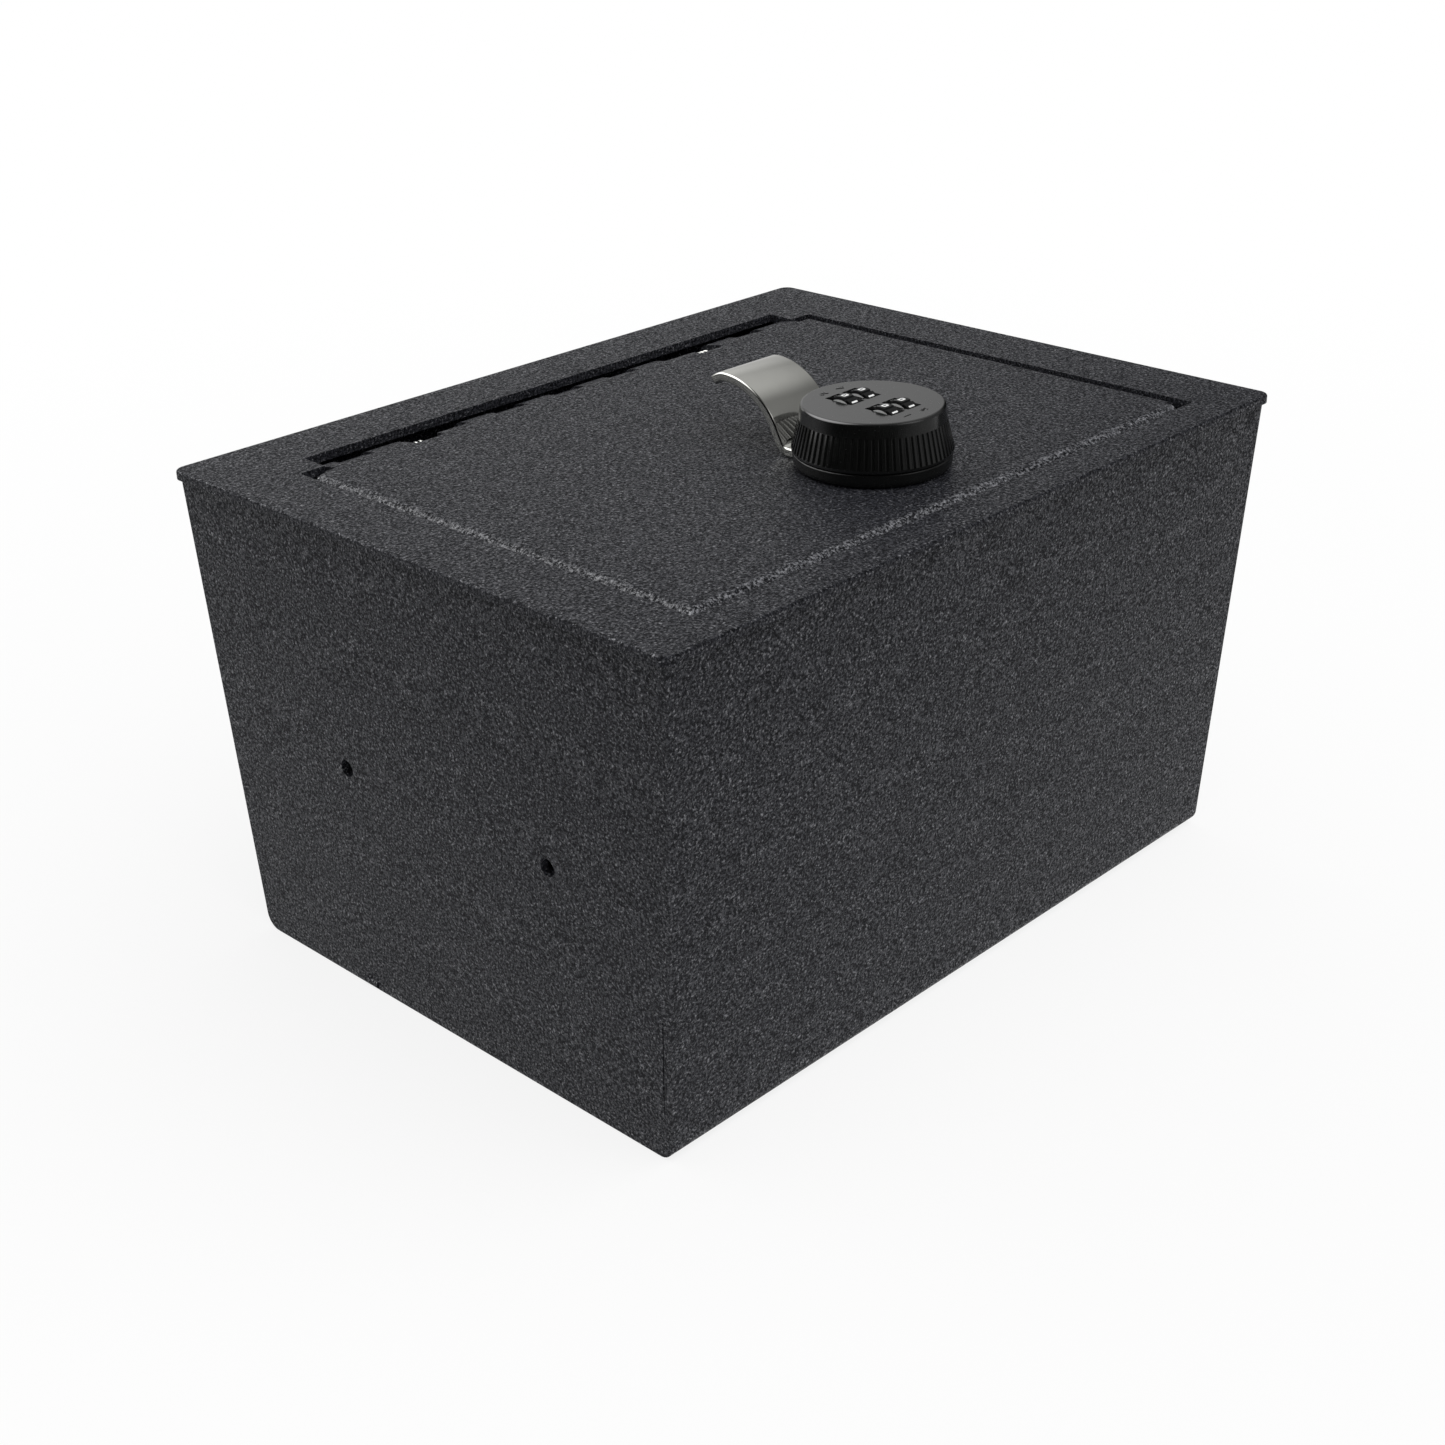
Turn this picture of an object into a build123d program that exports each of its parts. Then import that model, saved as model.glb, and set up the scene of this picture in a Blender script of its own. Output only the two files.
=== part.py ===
"""Steel cash box with a drop-in lid, a finger hinge and a combination knob.

Millimetres, +Z up. X runs along the length of the box and Y across it. The lock is at the
front, towards -Y, and the hinge is at the back. The origin is the centre of the underside.
"""

import os
from math import acos, atan2, cos, degrees, hypot, pi, radians, sin, sqrt, tan

from build123d import *

# ---------------------------------------------------------------------------
# Driving dimensions
# ---------------------------------------------------------------------------

# Box
rim_length = 270.0
rim_width = 207.0
box_height = 155.5
sheet = 2.7
rim_overhang = 2.0
end_taper = 4.5  # how far each end leans in, from the rim down to the floor
side_taper = 9.0  # the same for the front and the back
fold_radius = 5.0  # outside radius of the folds along the floor and in the leaf
rim_corner_radius = 4.0
rim_edge_radius = 0.8

# Screw holes in the end panels
screw_hole_diameter = 5.5
screw_hole_spacing = 87.3
screw_hole_centre_y = -7.2
screw_hole_height = 77.3

# Unwelded stretch of the front seam, and the weld bead under the left end
seam_slit_low = 16.0
seam_slit_high = 46.0
seam_slit_width = 0.4
bead_radius = 1.1
bead_length = 6.5
bead_y = 39.0

# Lid opening: the widths of the rim's ledges, and the hinge bay behind the opening
front_ledge = 13.8
back_ledge = 22.6
left_ledge = 22.65
right_ledge = 24.35
hinge_bay_width = 10.3
hinge_bay_inset_left = 8.95
hinge_bay_inset_right = 8.75
lid_gap = 0.8
lid_swing_clearance = 0.35  # past the rim's step as the lid turns
lid_open_angle = 93.0
lid_flange_depth = 14.0
lid_fold_radius = 4.3  # outside radius of the lid's folds
front_left_relief = 1.6
front_right_relief = 5.0
back_relief_length = 5.0
back_relief_width = 1.1

# Hinge
hinge_pin_diameter = 4.6
end_knuckle_left_length = 5.0
end_knuckle_right_length = 14.2
knuckle_units = 15
leaf_units = (0, 5, 7, 9, 14)  # knuckles that belong to the box
bay_units = (2, 3, 11, 12)  # two wide bays, one for each spring
leaf_drop = 15.5  # how far the leaf reaches below the pin
hinge_running_clearance = 0.06
knuckle_side_clearance = 0.35
rim_hinge_clearance = 2.3
knuckle_radial_clearance = 0.5
leaf_sheet = 2.0
hinge_dip = 1.2  # how far the lid's back strip falls to its knuckles
hinge_dip_angle = 11.0

# Torsion springs
spring_wire = 1.0
spring_pitch = 1.45
spring_full_turns = 4
spring_pin_clearance = 0.3
spring_seat_clearance = 0.2
spring_lid_reach = 10.0
spring_leaf_reach = 12.0
spring_bay_margin = 1.3
spring_window_length = 11.6  # deeper part of a spring's bay
spring_window_reach = 7.3  # in front of the pin

# Lock and knob, heights measured from the lid's top face
lock_offset_x = 3.35  # from the middle of the opening
lock_setback = 38.1  # from the lid's front
base_ring_diameter = 46.6
base_ring_height = 4.4
base_ring_low_radius = 2.0
barrel_diameter = 19.0
spindle_diameter = 10.0
spindle_clearance = 0.05
barrel_clearance = 0.2
barrel_drop = 6.0  # how far the barrel reaches below the lid's underside
washer_thickness = 1.0
washer_diameter = 27.0
nut_thickness = 4.0
nut_across_flats = 24.0
knob_skirt_diameter = 47.4
knob_band_diameter = 43.0
knob_shoulder_diameter = 41.9
knob_height = 18.65
knob_shoulder_radius = 0.9
knob_skirt_radius = 0.45
knob_roof = 1.25
knob_wall = 3.0
knob_running_gap = 0.3
rib_count = 72
rib_groove_radius = 0.62
rib_low = 5.6
rib_high = 14.4

# Number wheels
wheel_diameter = 12.8
wheel_width = 4.2
wheel_spacing_x = 7.4
wheel_spacing_y = 15.0
wheel_proud = 1.3
wheel_side_clearance = 0.9
wheel_pocket_clearance = 0.4
wheel_window_length = 10.0
wheel_axle_diameter = 2.4
wheel_axle_clearance = 0.05
wheel_axle_overhang = 2.5
wheel_numbers = 10
wheel_notch_radius = 0.45
detent_thickness = 0.3
detent_width = 3.2

# Cam, drive pin and latch
crank_radius = 7.0
drive_pin_diameter = 4.0
cam_hub_diameter = 15.0
cam_boss_diameter = 7.2
cam_thickness = 2.5
cam_square = 5.5
cam_running_gap = 0.2
cam_screw_head_diameter = 9.2
cam_screw_head_height = 1.2
cam_screw_diameter = 3.0
cam_screw_length = 8.0
latch_thickness = 3.0
latch_gap = 0.4
latch_slot_clearance = 0.5
latch_body_length = 44.0
latch_front_length = 62.0
latch_tongue_length = 18.0
latch_back_reach = 22.8  # behind the lock's axis
latch_ramp_start = 12.7  # in front of it
latch_ramp_length = 5.8
latch_tip_inset = 1.2  # from the flange's outside to the tip of a drawn-back tongue
tongue_slot_clearance = 0.4
guide_sheet = 2.0
guide_foot = 11.0
guide_lip = 6.0
guide_front_reach = 10.2
guide_back_reach = 17.8
guide_side_clearance = 0.4
guide_lip_clearance = 0.3

# Handle
handle_width = 24.5
handle_thickness = 2.8
handle_tail_length = 17.0
handle_foot_length = 22.4
handle_bend_radius = 3.9
handle_slope_angle = 62.0
handle_straight_length = 4.7
handle_arch_radius = 22.1
handle_curl_radius = 6.6
handle_curl_angle = 50.0
handle_corner_radius = 1.2
handle_seat_clearance = 0.05

# Lid stops
stop_length = 20.0
stop_spacing = 140.0
stop_reach = 17.0
stop_drop = 12.0
stop_clearance = 0.3

# ---------------------------------------------------------------------------
# Worked-out places
# ---------------------------------------------------------------------------

rim_bottom = box_height - sheet
side_lean = side_taper / rim_bottom
end_lean = end_taper / rim_bottom
side_run = sheet * hypot(1, side_lean)  # a leaning sheet's thickness, measured level
end_run = sheet * hypot(1, end_lean)
inner_fold_radius = fold_radius - sheet
inner_lid_fold_radius = lid_fold_radius - sheet
large = 4 * max(rim_length, rim_width, box_height)  # longer than anything that is cut


def side_outside(z):
    """Distance from the middle to the outside of the front or back wall at a height."""
    return rim_width / 2 - rim_overhang - side_lean * (rim_bottom - z)


def side_inside(z):
    """Distance from the middle to the inside of the front or back wall at a height."""
    return side_outside(z) - side_run


def end_outside(z):
    """Distance from the middle to the outside of an end at a height."""
    return rim_length / 2 - rim_overhang - end_lean * (rim_bottom - z)


# Lid opening and lid
opening_left = -rim_length / 2 + left_ledge
opening_right = rim_length / 2 - right_ledge
opening_length = opening_right - opening_left
opening_centre_x = (opening_left + opening_right) / 2
opening_front_y = -rim_width / 2 + front_ledge
hinge_bay_back_y = rim_width / 2 - back_ledge
opening_step_y = hinge_bay_back_y - hinge_bay_width
bay_left = opening_left + hinge_bay_inset_left
bay_right = opening_right - hinge_bay_inset_right
bay_length = bay_right - bay_left
bay_centre_x = (bay_left + bay_right) / 2
lid_length = opening_length - 2 * lid_gap
lid_left = opening_left + lid_gap
lid_right = opening_right - lid_gap
lid_front = opening_front_y + lid_gap
lid_under = box_height - sheet
flange_bottom = box_height - lid_flange_depth

# Hinge
pin_radius = hinge_pin_diameter / 2
lid_bore_radius = pin_radius + hinge_running_clearance
lid_knuckle_radius = lid_bore_radius + sheet
leaf_knuckle_radius = pin_radius + leaf_sheet
leaf_inner_fold_radius = fold_radius - leaf_sheet
hinge_y = hinge_bay_back_y - rim_hinge_clearance - lid_knuckle_radius
hinge_z = box_height - lid_knuckle_radius - hinge_dip
dip_turn = radians(hinge_dip_angle)
dip_run = (lid_knuckle_radius * (1 - cos(dip_turn)) + hinge_dip) / sin(dip_turn)
dip_start_y = hinge_y + lid_knuckle_radius * sin(dip_turn) - dip_run * cos(dip_turn)
step_reach = hypot(hinge_y - opening_step_y, box_height - hinge_z) + lid_swing_clearance
lid_open_turn = radians(lid_open_angle)
lid_open_rise = (box_height - hinge_z) * (1 - cos(lid_open_turn)) + lid_swing_clearance
lid_step = hinge_y - max(
    sqrt(step_reach**2 - (lid_under - hinge_z) ** 2),  # clear of the rim's step while it turns
    lid_open_rise / sin(lid_open_turn),  # above the rim when it is open
)
lid_flange_end = hinge_y - step_reach
notch_run = sqrt((leaf_knuckle_radius + knuckle_radial_clearance) ** 2 - lid_bore_radius**2)
notch_front_y = hinge_y + lid_bore_radius * sin(dip_turn) - notch_run * cos(dip_turn)
leaf_top = hinge_z - lid_knuckle_radius - knuckle_radial_clearance
leaf_bottom = hinge_z - leaf_drop - leaf_sheet
knuckle_start_x = bay_left + lid_gap + end_knuckle_left_length
knuckle_end_x = bay_right - lid_gap - end_knuckle_right_length
knuckle_pitch = (knuckle_end_x - knuckle_start_x) / knuckle_units


def unit_range(unit):
    """The stretch of X that one unit of the knuckle pattern takes."""
    start = knuckle_start_x + unit * knuckle_pitch
    return start, start + knuckle_pitch


box_units = leaf_units + bay_units
lid_knuckles = [
    (bay_left + lid_gap, knuckle_start_x),
    *[unit_range(unit) for unit in range(knuckle_units) if unit not in box_units],
    (knuckle_end_x, bay_right - lid_gap),
]

# Lock axis
lock_x = opening_centre_x + lock_offset_x
lock_y = lid_front + lock_setback

# Levels below the lid
cam_top = lid_under - barrel_drop - cam_running_gap
cam_bottom = cam_top - cam_thickness
screw_head_bottom = cam_bottom - cam_screw_head_height
latch_top = screw_head_bottom - latch_gap
latch_bottom = latch_top - latch_thickness
tongue_top = lid_under - latch_gap
tongue_bottom = tongue_top - latch_thickness
latch_back_y = lock_y + latch_back_reach
latch_ramp_back_y = lock_y - latch_ramp_start
latch_ramp_front_y = latch_ramp_back_y - latch_ramp_length
latch_tip_y = lid_front + latch_tip_inset
guide_front_y = lock_y - guide_front_reach
guide_back_y = lock_y + guide_back_reach
guide_lip_top = latch_bottom - guide_lip_clearance
latch_travel = 2 * crank_radius * sin(radians(45))
drive_x = lock_x + crank_radius * cos(radians(45))
drive_y = lock_y + crank_radius * sin(radians(45))

# Levels above the lid
base_ring_top = box_height + base_ring_height
knob_bottom = base_ring_top + knob_running_gap
knob_top = box_height + knob_height
knob_roof_under = knob_top - knob_roof
knob_bore_radius = knob_band_diameter / 2 - knob_wall
wheel_radius = wheel_diameter / 2
wheel_z = knob_top + wheel_proud - wheel_radius
axle_radius = wheel_axle_diameter / 2
axle_half_length = wheel_spacing_x / 2 + wheel_width / 2 + wheel_axle_overhang

os.makedirs("parts", exist_ok=True)


def write(shape, name):
    """Label a finished piece and write it as a STEP file."""
    shape.label = name
    export_step(shape, f"parts/{name}.step")


# ---------------------------------------------------------------------------
# Box
# ---------------------------------------------------------------------------


def wall_section(inset, corner):
    """Area inside the folded walls, seen along X; an inset moves its lines into the sheet."""
    low = inset
    level_inset = inset * hypot(1, side_lean)
    half_low = side_outside(low) - level_inset
    half_top = side_outside(rim_bottom) - level_inset
    with BuildSketch() as section:
        with BuildLine():
            Polyline(
                (-half_top, rim_bottom),
                (-half_low, low),
                (half_low, low),
                (half_top, rim_bottom),
                close=True,
            )
        make_face()
        fillet(section.vertices().group_by(Axis.Y)[0], corner)
    return section.sketch_local


with BuildPart() as body_wrap:
    with BuildSketch(Plane.YZ):
        add(wall_section(0, fold_radius))
        add(wall_section(sheet, inner_fold_radius), mode=Mode.SUBTRACT)
    extrude(amount=rim_length, both=True)
    with BuildSketch(Plane.XZ):
        with BuildLine():
            Polyline(
                (-end_outside(rim_bottom), rim_bottom),
                (-end_outside(0), 0),
                (end_outside(0), 0),
                (end_outside(rim_bottom), rim_bottom),
                close=True,
            )
        make_face()
    extrude(amount=rim_width, both=True, mode=Mode.INTERSECT)
    bead_z = sheet / 2
    with Locations((-end_outside(bead_z) + bead_radius / 3, bead_y, bead_z)):
        Cylinder(bead_radius, bead_length, rotation=(90, 0, 0))
write(body_wrap.part, "body_wrap")

for side, end_name in ((-1, "left"), (1, "right")):
    with BuildPart() as end_panel:
        with BuildSketch(Plane.YZ):
            add(wall_section(sheet, inner_fold_radius))
        extrude(amount=side * rim_length)
        with BuildSketch(Plane.XZ):
            with BuildLine():
                Polyline(
                    (side * (end_outside(0) - end_run), 0),
                    (side * end_outside(0), 0),
                    (side * end_outside(rim_bottom), rim_bottom),
                    (side * (end_outside(rim_bottom) - end_run), rim_bottom),
                    close=True,
                )
            make_face()
        extrude(amount=rim_width, both=True, mode=Mode.INTERSECT)
        with BuildSketch(Plane.YZ):
            with Locations((screw_hole_centre_y, screw_hole_height)):
                with GridLocations(screw_hole_spacing, 1, 2, 1):
                    Circle(screw_hole_diameter / 2)
        extrude(amount=side * rim_length, mode=Mode.SUBTRACT)
        if side < 0:
            with BuildSketch(Plane.YZ):
                with BuildLine():
                    Polyline(
                        (-side_inside(seam_slit_low), seam_slit_low),
                        (-side_inside(seam_slit_low) + seam_slit_width, seam_slit_low),
                        (-side_inside(seam_slit_high) + seam_slit_width, seam_slit_high),
                        (-side_inside(seam_slit_high), seam_slit_high),
                        close=True,
                    )
                make_face()
            extrude(amount=-rim_length, mode=Mode.SUBTRACT)
    write(end_panel.part, f"end_panel_{end_name}")

with BuildPart() as rim_plate:
    with BuildSketch(Plane.XY.offset(rim_bottom)):
        RectangleRounded(rim_length, rim_width, rim_corner_radius)
    extrude(amount=sheet)
    fillet(rim_plate.faces().sort_by(Axis.Z)[-1].edges(), rim_edge_radius)
    with BuildSketch(Plane.XY.offset(rim_bottom)):
        opening_depth = opening_step_y - opening_front_y
        with Locations((opening_centre_x, (opening_step_y + opening_front_y) / 2)):
            Rectangle(opening_length, opening_depth)
        bay_depth = hinge_bay_back_y - opening_front_y
        with Locations((bay_centre_x, (hinge_bay_back_y + opening_front_y) / 2)):
            Rectangle(bay_length, bay_depth)
    extrude(amount=sheet, mode=Mode.SUBTRACT)
write(rim_plate.part, "rim_plate")

with BuildPart() as hinge_leaf:
    leaf_front = hinge_y + pin_radius
    with BuildSketch(Plane.YZ.offset(knuckle_start_x)):
        with BuildLine():
            Polyline(
                (leaf_front, leaf_top),
                (leaf_front, leaf_bottom),
                (side_inside(leaf_bottom), leaf_bottom),
                (side_inside(leaf_bottom + leaf_sheet), leaf_bottom + leaf_sheet),
                (leaf_front + leaf_sheet, leaf_bottom + leaf_sheet),
                (leaf_front + leaf_sheet, leaf_top),
                close=True,
            )
        make_face()
    extrude(amount=knuckle_end_x - knuckle_start_x)
    fold_edges = hinge_leaf.edges().filter_by(Axis.X)
    outer_fold = fold_edges.sort_by_distance((0, leaf_front, leaf_bottom))[0]
    inner_corner = (0, leaf_front + leaf_sheet, leaf_bottom + leaf_sheet)
    inner_fold = fold_edges.sort_by_distance(inner_corner)[0]
    fillet(outer_fold, fold_radius)
    fillet(inner_fold, leaf_inner_fold_radius)
    for unit in leaf_units:
        unit_start, unit_end = unit_range(unit)
        with BuildSketch(Plane.YZ.offset(unit_start + knuckle_side_clearance)):
            with Locations((hinge_y, hinge_z)):
                Circle(leaf_knuckle_radius)
            with Locations((leaf_front + leaf_sheet / 2, (hinge_z + leaf_top) / 2)):
                Rectangle(leaf_sheet, hinge_z - leaf_top)
        extrude(amount=knuckle_pitch - 2 * knuckle_side_clearance)
    with BuildSketch(Plane.YZ.offset(-rim_length)):
        with Locations((hinge_y, hinge_z)):
            Circle(pin_radius)
    extrude(amount=2 * rim_length, mode=Mode.SUBTRACT)
write(hinge_leaf.part, "hinge_leaf")

with BuildPart() as hinge_pin:
    with BuildSketch(Plane.YZ.offset(bay_left + lid_gap)):
        with Locations((hinge_y, hinge_z)):
            Circle(pin_radius)
    extrude(amount=bay_length - 2 * lid_gap)
write(hinge_pin.part, "hinge_pin")

for side, stop_name in ((-1, "left"), (1, "right")):
    stop_x = opening_centre_x + side * stop_spacing / 2
    stop_top = flange_bottom - stop_clearance
    stop_under = stop_top - sheet
    stop_foot = stop_top - stop_drop
    stop_back_y = -side_inside(stop_top) + stop_reach
    with BuildPart() as lid_stop:
        with BuildSketch(Plane.YZ.offset(stop_x - stop_length / 2)):
            with BuildLine():
                Polyline(
                    (stop_back_y, stop_top),
                    (-side_inside(stop_top), stop_top),
                    (-side_inside(stop_foot), stop_foot),
                    (-side_inside(stop_foot) + side_run, stop_foot),
                    (-side_inside(stop_under) + side_run, stop_under),
                    (stop_back_y, stop_under),
                    close=True,
                )
            make_face()
        extrude(amount=stop_length)
    write(lid_stop.part, f"lid_stop_{stop_name}")

# ---------------------------------------------------------------------------
# Torsion springs
# ---------------------------------------------------------------------------

spring_radius = pin_radius + spring_pin_clearance + spring_wire / 2


def tangent_turn(reach_y, reach_z, sense):
    """Angle on the coil where a straight leg through a point beside it leaves the circle."""
    distance = hypot(reach_y, reach_z)
    return atan2(reach_z, reach_y) + sense * acos(spring_radius / distance)


lid_leg_y = -spring_lid_reach
lid_leg_z = lid_under - hinge_z - spring_wire / 2 - spring_seat_clearance
leaf_leg_y = pin_radius - spring_wire / 2 - spring_seat_clearance
leaf_leg_z = -spring_leaf_reach
coil_start = tangent_turn(lid_leg_y, lid_leg_z, 1)
coil_end = tangent_turn(leaf_leg_y, leaf_leg_z, -1)
while coil_end < coil_start:
    coil_end += 2 * pi
coil_end += 2 * pi * spring_full_turns
coil_rise = spring_pitch * (coil_end - coil_start) / (2 * pi)


def make_spring(start_x, sense):
    """One wire: a leg under the lid, a helix round the pin, and a leg down the leaf."""
    climb = sense * spring_pitch / (2 * pi)

    def coil_point(turn):
        return Vector(
            start_x + climb * (turn - coil_start),
            hinge_y + spring_radius * cos(turn),
            hinge_z + spring_radius * sin(turn),
        )

    def coil_direction(turn):
        along = Vector(climb, -spring_radius * sin(turn), spring_radius * cos(turn))
        return along.normalized()

    def leg_length(reach_y, reach_z):
        level = sqrt(reach_y**2 + reach_z**2 - spring_radius**2)
        return level * hypot(spring_radius, climb) / spring_radius

    steps = int((coil_end - coil_start) / (pi / 2)) + 1
    turns = [coil_start + (coil_end - coil_start) * i / steps for i in range(steps + 1)]
    with BuildPart() as spring:
        with BuildLine() as wire:
            first = coil_point(coil_start)
            last = coil_point(coil_end)
            lid_leg = coil_direction(coil_start) * leg_length(lid_leg_y, lid_leg_z)
            leaf_leg = coil_direction(coil_end) * leg_length(leaf_leg_y, leaf_leg_z)
            Line(first - lid_leg, first)
            for turn_a, turn_b in zip(turns, turns[1:]):
                a, b = coil_point(turn_a), coil_point(turn_b)
                da, db = coil_direction(turn_a), coil_direction(turn_b)
                chord, both = b - a, da + db
                spread = 2 * (1 - da.dot(db))
                reach = chord.dot(both)
                arm = (sqrt(reach**2 + spread * chord.dot(chord)) - reach) / spread
                joint = (a + b + (da - db) * arm) / 2
                TangentArc(a, joint, tangent=da)
                TangentArc(joint, b, tangent=b - joint - db * arm + (joint - a - da * arm))
            Line(last, last + leaf_leg)
        with BuildSketch(Plane(origin=first - lid_leg, z_dir=lid_leg)):
            Circle(spring_wire / 2)
        sweep(path=wire.wires()[0])

    samples = [coil_point(coil_start + i * pi / 24) for i in range(int(48 * coil_rise / spring_pitch))]
    gap = min(
        (samples[i] - samples[j]).length
        for i in range(len(samples))
        for j in range(i + 24, len(samples))
    )
    return spring.part, gap - spring_wire


left_bay_x = unit_range(bay_units[0])[0]
right_bay_x = unit_range(bay_units[-1])[1]
for spring_name, spring_x, sense in (
    ("left", left_bay_x + spring_bay_margin + coil_rise, -1),
    ("right", right_bay_x - spring_bay_margin - coil_rise, 1),
):
    spring_part, spring_gap = make_spring(spring_x, sense)
    write(spring_part, f"spring_{spring_name}")
    print(f"spring_{spring_name}: least gap between turns {spring_gap:.3f} mm")

# ---------------------------------------------------------------------------
# Lid
# ---------------------------------------------------------------------------

lid_centre_y = (lid_front + lid_step) / 2
with BuildPart() as lid_cavity:
    with BuildSketch(Plane.XY.offset(flange_bottom)):
        with Locations((opening_centre_x, lid_centre_y + sheet)):
            Rectangle(lid_length - 2 * sheet, lid_step - lid_front)
    extrude(amount=lid_flange_depth - sheet)
    cavity_edges = lid_cavity.faces().sort_by(Axis.Z)[-1].edges()
    fillet(
        cavity_edges.filter_by(Axis.Y) + cavity_edges.filter_by(Axis.X).sort_by(Axis.Y)[:1],
        inner_lid_fold_radius,
    )

with BuildPart() as lid_panel:
    with BuildSketch(Plane.XY.offset(flange_bottom)):
        with Locations((opening_centre_x, lid_centre_y)):
            Rectangle(lid_length, lid_step - lid_front)
    extrude(amount=lid_flange_depth)
    lid_edges = lid_panel.faces().sort_by(Axis.Z)[-1].edges()
    fillet(
        lid_edges.filter_by(Axis.Y) + lid_edges.filter_by(Axis.X).sort_by(Axis.Y)[:1],
        lid_fold_radius,
    )
    add(lid_cavity.part, mode=Mode.SUBTRACT)
    # The side flanges end short of the back edge
    with BuildSketch(Plane.XY.offset(flange_bottom)):
        with Locations((opening_centre_x, (lid_flange_end + lid_step) / 2)):
            Rectangle(lid_length, lid_step - lid_flange_end)
    extrude(amount=lid_flange_depth - sheet, mode=Mode.SUBTRACT)
    # Corner reliefs where two flanges meet, and at the back of the left flange
    with BuildSketch(Plane.XY.offset(flange_bottom)):
        for corner_x, relief in ((lid_left, front_left_relief), (lid_right, front_right_relief)):
            with Locations((corner_x, lid_front)):
                Rectangle(2 * relief, 2 * relief)
        with Locations((lid_left, lid_step)):
            Rectangle(2 * back_relief_length, 2 * back_relief_width)
    extrude(amount=lid_flange_depth, mode=Mode.SUBTRACT)
    # Back strip in the hinge bay: it falls to its knuckles
    with BuildSketch(Plane.YZ.offset(bay_left + lid_gap)):
        strip_front = lid_step - sheet
        with BuildLine():
            Polyline(
                (strip_front, box_height),
                (dip_start_y, box_height),
                (
                    hinge_y + lid_knuckle_radius * sin(dip_turn),
                    hinge_z + lid_knuckle_radius * cos(dip_turn),
                ),
                (hinge_y + lid_bore_radius * sin(dip_turn), hinge_z + lid_bore_radius * cos(dip_turn)),
                (dip_start_y - sheet * tan(dip_turn / 2), lid_under),
                (strip_front, lid_under),
                close=True,
            )
        make_face()
    extrude(amount=bay_length - 2 * lid_gap)
    # Notches for the box's knuckles and the springs' bays, each with a deeper window at its coil
    strip_back = hinge_y + lid_knuckle_radius
    window_front_y = hinge_y - spring_window_reach
    with BuildSketch(Plane.XY.offset(hinge_z)):
        for unit in box_units:
            with Locations((sum(unit_range(unit)) / 2, (notch_front_y + strip_back) / 2)):
                Rectangle(knuckle_pitch, strip_back - notch_front_y)
        for window_x in (
            left_bay_x + spring_window_length / 2,
            right_bay_x - spring_window_length / 2,
        ):
            with Locations((window_x, (window_front_y + strip_back) / 2)):
                Rectangle(spring_window_length, strip_back - window_front_y)
    extrude(amount=box_height - hinge_z, mode=Mode.SUBTRACT)
    # The strip's knuckles, rolled round the pin
    for knuckle_left, knuckle_right in lid_knuckles:
        with BuildSketch(Plane.YZ.offset(knuckle_left)):
            with Locations((hinge_y, hinge_z)):
                Circle(lid_knuckle_radius)
        extrude(amount=knuckle_right - knuckle_left)
    with BuildSketch(Plane.YZ.offset(-rim_length)):
        with Locations((hinge_y, hinge_z)):
            Circle(lid_bore_radius)
    extrude(amount=2 * rim_length, mode=Mode.SUBTRACT)
    # Lock hole, and the two slots that the tongues pass through
    with BuildSketch(Plane.XY.offset(lid_under)):
        with Locations((lock_x, lock_y)):
            Circle(barrel_diameter / 2 + barrel_clearance)
    extrude(amount=sheet, mode=Mode.SUBTRACT)
    tongue_x = (latch_front_length - latch_tongue_length) / 2
    with BuildSketch(Plane.XZ.offset(-lid_front - lid_fold_radius)):
        with Locations((lock_x, (tongue_top + tongue_bottom) / 2)):
            with GridLocations(2 * tongue_x, 1, 2, 1):
                Rectangle(
                    latch_tongue_length + 2 * tongue_slot_clearance,
                    latch_thickness + 2 * tongue_slot_clearance,
                )
    extrude(amount=2 * lid_fold_radius, mode=Mode.SUBTRACT)
write(lid_panel.part, "lid_panel")

# ---------------------------------------------------------------------------
# Handle
# ---------------------------------------------------------------------------

with BuildPart() as handle:
    with BuildSketch(Plane.YZ.offset(lock_x)) as handle_section:
        with BuildLine():
            mid_z = box_height + handle_thickness / 2
            foot = Line((lock_y - handle_tail_length, mid_z), (lock_y + handle_foot_length, mid_z))
            bend = JernArc(foot @ 1, foot % 1, handle_bend_radius, handle_slope_angle)
            rise = Line(bend @ 1, (bend @ 1) + (bend % 1) * handle_straight_length)
            arch = JernArc(rise @ 1, rise % 1, handle_arch_radius, -handle_slope_angle)
            JernArc(arch @ 1, arch % 1, handle_curl_radius, -handle_curl_angle)
        trace(line_width=handle_thickness)
    extrude(amount=handle_width / 2, both=True)
    tip_edges = handle.faces().sort_by(Axis.Y)[-1].edges().filter_by(Axis.X, reverse=True)
    fillet(tip_edges, handle_corner_radius)
    with BuildSketch(Plane.XY.offset(box_height)):
        with Locations((lock_x, lock_y)):
            Circle(barrel_diameter / 2 + barrel_clearance)
    extrude(amount=2 * handle_thickness, mode=Mode.SUBTRACT)
write(handle.part, "handle")

# ---------------------------------------------------------------------------
# Lock body, washer and nut
# ---------------------------------------------------------------------------

lock_plane = Plane((lock_x, lock_y, box_height))
barrel_length = sheet + barrel_drop

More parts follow.
